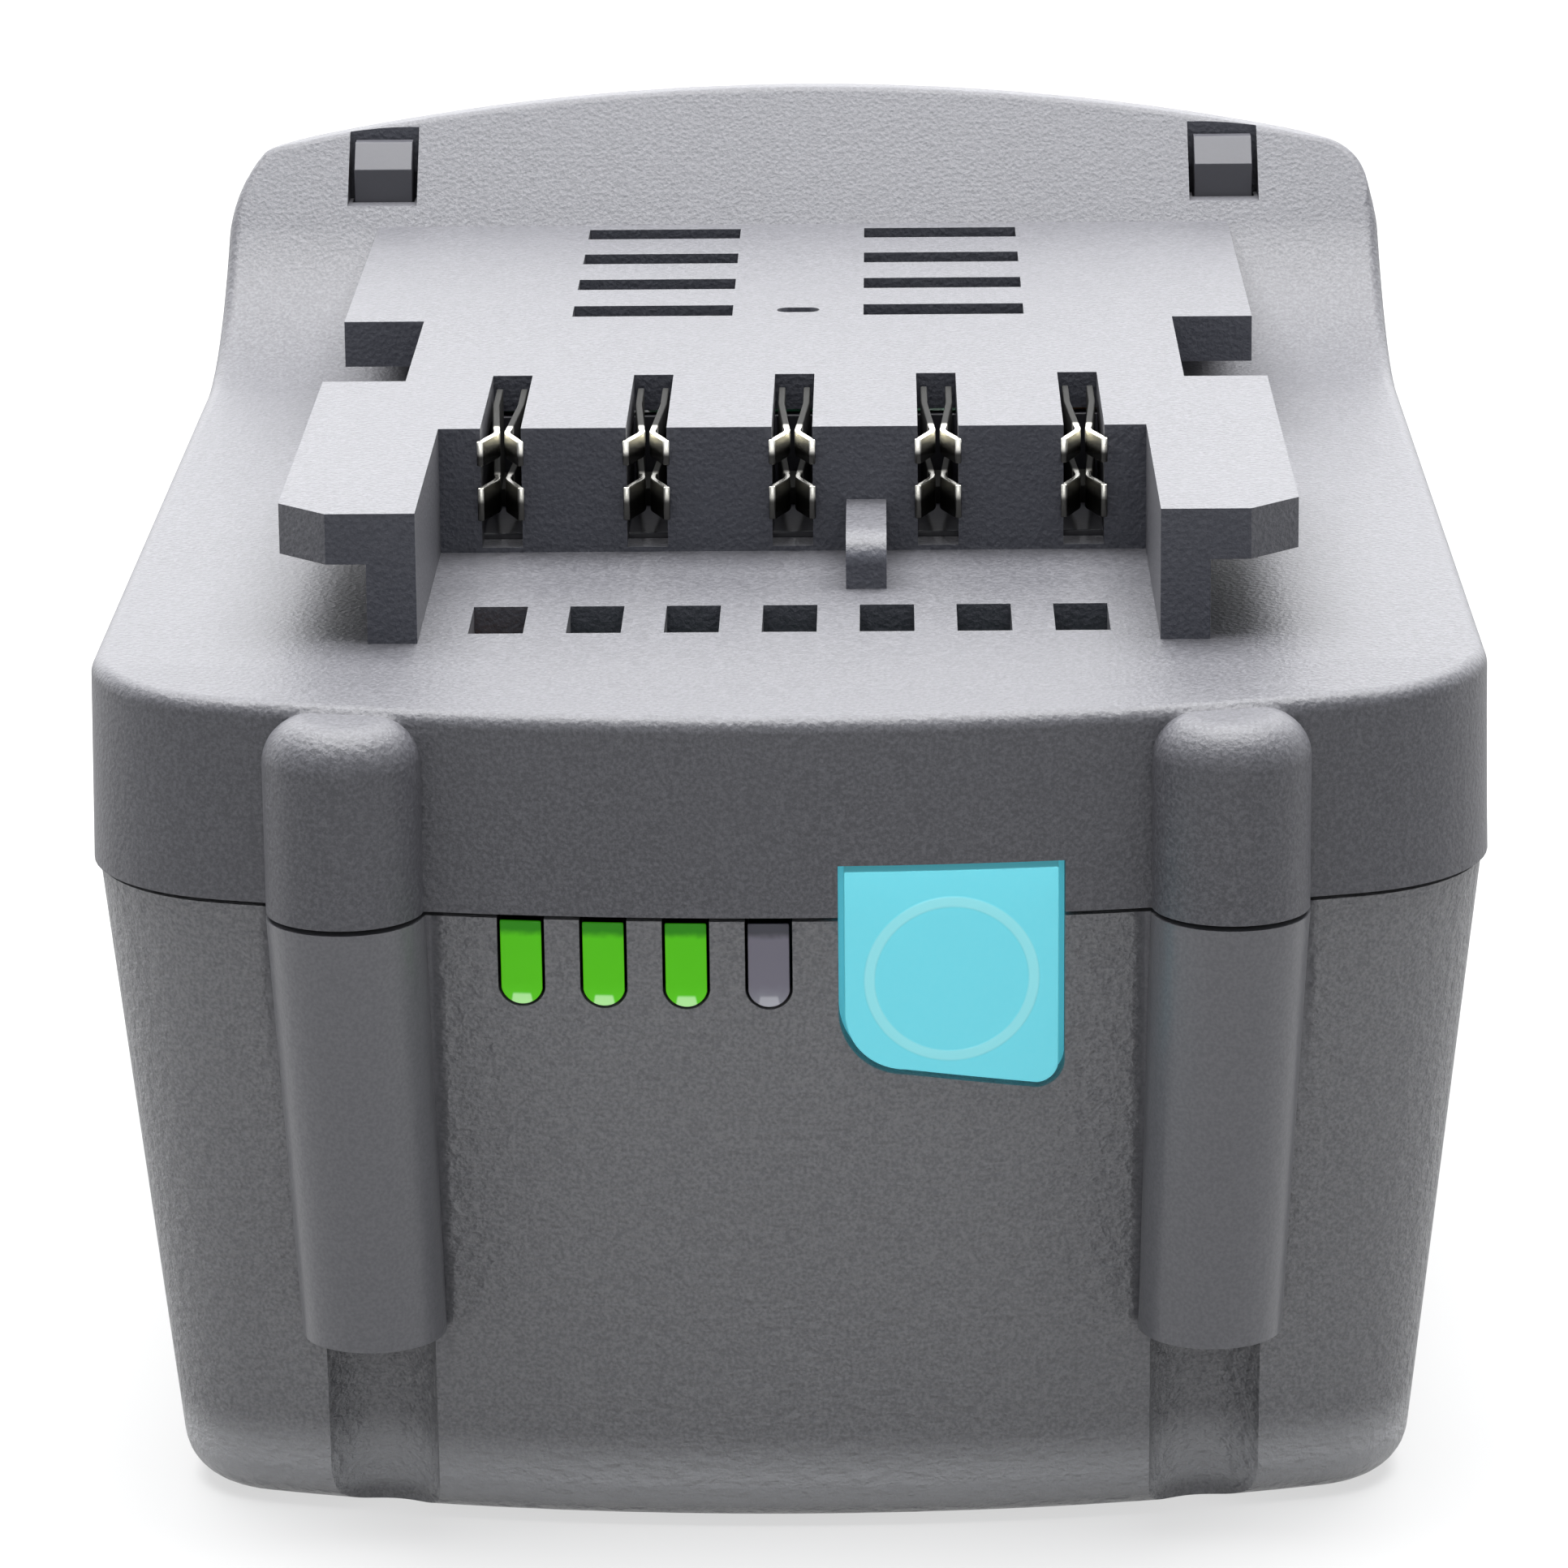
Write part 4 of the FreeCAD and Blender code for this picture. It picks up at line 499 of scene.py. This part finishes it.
# A painted highlight runs along the top edge of each finger, fainter on the lower finger; the rest of the
# nickel stays near black as painted shade.
upper_edge_highlight = under_top.step(EDGE_FROM, EDGE_TO)
lower_edge_highlight = under_second.step(EDGE_FROM, EDGE_TO) * (1 - under_second.step(0, EDGE_ENDS))
painted_highlight = (upper_edge_highlight + lower_edge_highlight * 0.45) * lit_fork_front + lit_fork_front * 0.10
nickel.surface(
    Base_Color=nickel.blend(painted_highlight, NICKEL_SHADED, NICKEL_HIGHLIGHT),
    Roughness=0.66 + scratches * 0.12 - lit_fork_front * 0.5,
    Metallic=lit_fork_front,
    Normal=nickel.bumped(scratches, 0.006, 0.4),
    IOR=1.25,
)
for contact in (
    "power_contact_plus", "signal_contact_left", "signal_contact_middle", "signal_contact_right",
    "power_contact_minus",
):
    broken_edges(contact, contact.replace("contact", "fork"), nickel, edge_mm=0.08)
comb = plain("holder_black", (0.012, 0.012, 0.018), 0.45, depth_mm=0.02)
broken_edges("terminal_holder", "contact_comb", comb, edge_mm=0.15)

# Main board
# Green glass-fibre board with tinned tracks, resin-cased parts and bare copper straps.
# It shows only through the louvres and the slots.
BOARD_GREEN, TRACK_GREEN = (0.006, 0.048, 0.022, 1), (0.012, 0.10, 0.042, 1)
TRACK_PITCH = 1.6 * MM


def dress(node, finish):
    """Gives a carried-over CAD piece its finish."""
    piece = frame["nodes"][node]
    piece.data.materials.clear()
    piece.data.materials.append(finish.material)


board = Finish("circuit_board")
weave = board.grain(0.5, stretch=(1, 4, 1))
lanes = ((board.along("X") / TRACK_PITCH).maths("FRACT") - 0.5).size().step(0.30, 0.36)
tracks = lanes * board.grain(5.0, detail=0).step(0.44, 0.47)
board.surface(
    Base_Color=board.blend(tracks, BOARD_GREEN, TRACK_GREEN),
    Roughness=0.28 + weave * 0.2,
    Normal=board.bumped(tracks + weave * 0.3, 0.03, 0.6),
    Coat_Weight=0.3,
)
dress("main_board", board)
dress("indicator_board", board)
copper = plain("copper_strip", (0.72, 0.38, 0.22), 0.26, metallic=1.0, fleck_mm=0.2, stretch=(0.2, 1, 1))
resin = plain("chip_black", (0.018, 0.018, 0.020), 0.42, depth_mm=0.015)
shunt = plain("shunt_metal", (0.60, 0.58, 0.55), 0.30, metallic=1.0, fleck_mm=0.2, stretch=(0.2, 1, 1))
ceramic = plain("fuse_ceramic", (0.76, 0.74, 0.68), 0.25)
can = plain("capacitor_can", (0.66, 0.67, 0.68), 0.28, metallic=1.0, fleck_mm=0.15, stretch=(1, 1, 0.2))
for node, finish in (
    ("power_strap_plus", copper),
    ("power_strap_minus", copper),
    ("power_transistors", resin),
    ("control_chip", resin),
    ("balance_resistors", resin),
    ("current_shunt", shunt),
    ("fuse", ceramic),
    ("capacitors", can),
):
    broken_edges(node, "board_" + node, finish, edge_mm=0.1)

# Small parts on the main board
# Rows of tiny resin-cased parts are soldered between the larger ones.
# One node tree lays out each field: a grid of places, a block at each, turned by chance.
CHIP_SIZE = Vector((1.3, 0.7, 0.5)) * MM
SMALLEST_CHIP, LARGEST_CHIP = (0.7, 0.7, 0.7), (1.1, 1.1, 1.2)
FIELD_INPUTS = {
    "Width": "NodeSocketFloat",
    "Length": "NodeSocketFloat",
    "Across": "NodeSocketInt",
    "Along": "NodeSocketInt",
    "Place": "NodeSocketVector",
    "Seed": "NodeSocketInt",
    "Finish": "NodeSocketMaterial",
}
FIELDS = {
    "parts_by_fuse": dict(Width=9.0, Length=4.2, Across=5, Along=3, Place=(9.2, 26.6), Seed=3),
    "parts_by_chip": dict(Width=5.6, Length=4.2, Across=4, Along=3, Place=(-5.2, 30.4), Seed=5),
    "parts_at_left": dict(Width=7.0, Length=22.0, Across=4, Along=9, Place=(-24.0, 10.0), Seed=8),
    "parts_at_right": dict(Width=7.0, Length=22.0, Across=4, Along=9, Place=(24.0, 10.0), Seed=13),
}


def rows_of_parts():
    """A node tree that stands small blocks on a grid of places."""
    tree = bpy.data.node_groups.new("rows_of_parts", "GeometryNodeTree")
    for name, kind in FIELD_INPUTS.items():
        tree.interface.new_socket(name, in_out="INPUT", socket_type=kind)
    tree.interface.new_socket("Geometry", in_out="OUTPUT", socket_type="NodeSocketGeometry")
    ask = tree.nodes.new("NodeGroupInput").outputs
    result = tree.nodes.new("NodeGroupOutput")

    def step(kind, inputs, **settings):
        made = tree.nodes.new(kind)
        for name, value in settings.items():
            setattr(made, name, value)
        for name, value in inputs.items():
            if isinstance(value, bpy.types.NodeSocket):
                tree.links.new(value, made.inputs[name])
            else:
                made.inputs[name].default_value = value
        return made.outputs

    grid_size = {"Size X": ask["Width"], "Size Y": ask["Length"]}
    grid_size.update({"Vertices X": ask["Across"], "Vertices Y": ask["Along"]})
    grid = step("GeometryNodeMeshGrid", grid_size)["Mesh"]
    places = step("GeometryNodeTransform", {"Geometry": grid, "Translation": ask["Place"]})["Geometry"]
    block = step("GeometryNodeMeshCube", {"Size": CHIP_SIZE})["Mesh"]
    raised = {"Geometry": block, "Translation": (0, 0, CHIP_SIZE.z / 2)}
    block = step("GeometryNodeTransform", raised)["Geometry"]
    quarter = step("FunctionNodeRandomValue", {4: 0, 5: 1, "Seed": ask["Seed"]}, data_type="INT")[2]
    turn = step("ShaderNodeMath", {0: quarter, 1: math.pi / 2}, operation="MULTIPLY")[0]
    rotation = step("ShaderNodeCombineXYZ", {"Z": turn})[0]
    chance = {0: SMALLEST_CHIP, 1: LARGEST_CHIP, "Seed": ask["Seed"]}
    scale = step("FunctionNodeRandomValue", chance, data_type="FLOAT_VECTOR")[0]
    spread = {"Points": places, "Instance": block, "Rotation": rotation, "Scale": scale}
    spread = step("GeometryNodeInstanceOnPoints", spread)["Instances"]
    real = step("GeometryNodeRealizeInstances", {"Geometry": spread})["Geometry"]
    painted = step("GeometryNodeSetMaterial", {"Geometry": real, "Material": ask["Finish"]})["Geometry"]
    tree.links.new(painted, result.inputs["Geometry"])
    return tree


rows_tree = rows_of_parts()
board_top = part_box("main_board")[1][2]
for name, values in FIELDS.items():
    field = link(bpy.data.objects.new(name, bpy.data.meshes.new(name)))
    rows = field.modifiers.new("rows", "NODES")
    rows.node_group = rows_tree
    values["Width"] *= MM
    values["Length"] *= MM
    values["Place"] = (values["Place"][0] * MM, values["Place"][1] * MM, board_top)
    values["Finish"] = resin.material
    for item in rows_tree.interface.items_tree:
        if item.in_out == "INPUT":
            rows[item.identifier] = values[item.name]
    settled(field)
    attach(field, "pack")

# Indicator board parts
# A push switch, four lamps in clear resin and an amber ribbon sit on the small upright board.
# They lie behind the button and the windows.
switch_black = plain("switch_black", (0.02, 0.02, 0.022), 0.40)
dress("switch_body", switch_black)
dress("switch_plunger", switch_black)
dress("indicator_lamps", plain("lamp_resin", (0.70, 0.86, 0.50), 0.15))
dress("indicator_ribbon", plain("ribbon_film", (0.56, 0.30, 0.07), 0.22))

# Cells
# Ten steel cans lie across the pack, each in a plain shrunk green sleeve with bare ends.
# The sleeve folds over the shoulder a little way and leaves the crimped rim in sight.
SLEEVE_SHORT, SLEEVE_WAVE, SLEEVE_FADE = 1.2 * MM, 0.3 * MM, 0.1 * MM
SLEEVE_DEEP, SLEEVE_PALE = (0.016, 0.24, 0.18, 1), (0.025, 0.32, 0.24, 1)
CAN_STEEL = (0.62, 0.61, 0.58, 1)
sleeve_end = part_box("cell_lower_1")[1][0] - SLEEVE_SHORT
wrap = Finish("cell_wrap")
drift = wrap.grain(6)
fine = wrap.grain(0.3)
bare = (wrap.along("X").size() + (drift - 0.5) * SLEEVE_WAVE).step(sleeve_end - SLEEVE_FADE, sleeve_end)
wrap.surface(
    Base_Color=wrap.blend(bare, wrap.blend(drift, SLEEVE_DEEP, SLEEVE_PALE), CAN_STEEL),
    Roughness=0.22 + fine * 0.12,
    Metallic=bare,
    Normal=wrap.bumped((1 - bare) + fine * 0.1, 0.08, 0.5),
)
for number in range(1, 6):
    dress("cell_lower_%d" % number, wrap)
    dress("cell_upper_%d" % number, wrap)

# Cell frames, link plates and sheets
# Two black frames hold the cells, and welded nickel plates join them in groups at both ends.
# Pale paper covers the plates, and foam strips carry the frames on the floor of the case.
link_nickel = plain("link_nickel", (0.70, 0.68, 0.62), 0.26, metallic=1.0, fleck_mm=0.2, stretch=(1, 1, 0.2))
frame_black = plain("frame_plastic", (0.028, 0.028, 0.032), 0.46, depth_mm=0.03)
paper = plain("cover_paper", (0.74, 0.72, 0.64), 0.62, fleck_mm=0.5, depth_mm=0.03)
foam = plain("foam_rubber", (0.045, 0.045, 0.045), 0.80, fleck_mm=0.6, depth_mm=0.1)
for side in ("left", "right"):
    dress("cell_frame_" + side, frame_black)
    dress("cover_sheet_" + side, paper)
    for number in (1, 2, 3):
        dress("link_plate_%s_%d" % (side, number), link_nickel)
dress("frame_pads", foam)
dress("temperature_sensor", plain("sensor_resin", (0.09, 0.028, 0.02), 0.30))

# Screws
# Four plated screws are sunk in the columns from below, and four small ones hold the board.
# Both sets are turned steel with a dull zinc skin.
steel = plain("screw_steel", (0.52, 0.52, 0.54), 0.30, metallic=1.0, fleck_mm=0.2)
broken_edges("case_screws", "case_screw_set", steel, edge_mm=0.15)
broken_edges("board_screws", "board_screw_set", steel, edge_mm=0.1)

# Release latch
# A ribbed thumb pad in the rear wall pulls a crossbar with two catches down against springs.
# The pad is moulded in the housing's grey, the crossbar in a darker glass-filled grey.
PAD_DARK, PAD_LIGHT = grey(0.075, 1.1), grey(0.112, 1.1)
pad_grey = Finish("button_grey")
rub = pad_grey.grain(0.25, detail=3)
handled = pad_grey.grain(9)
pad_grey.surface(
    Base_Color=pad_grey.blend(rub * 0.7 + handled * 0.3, PAD_DARK, PAD_LIGHT),
    Roughness=0.38 + rub * 0.14,
    Normal=pad_grey.bumped(rub, 0.05, 0.5),
)
broken_edges("release_button", "thumb_pad", pad_grey, edge_mm=0.25, segments=3)
broken_edges("latch_bar", "catch_bar", plain("latch_plastic", (0.048, 0.048, 0.058), 0.44), edge_mm=0.2)
spring_steel = plain("spring_steel", (0.60, 0.60, 0.60), 0.22, metallic=1.0, fleck_mm=0.1)
dress("latch_spring_left", spring_steel)
dress("latch_spring_right", spring_steel)
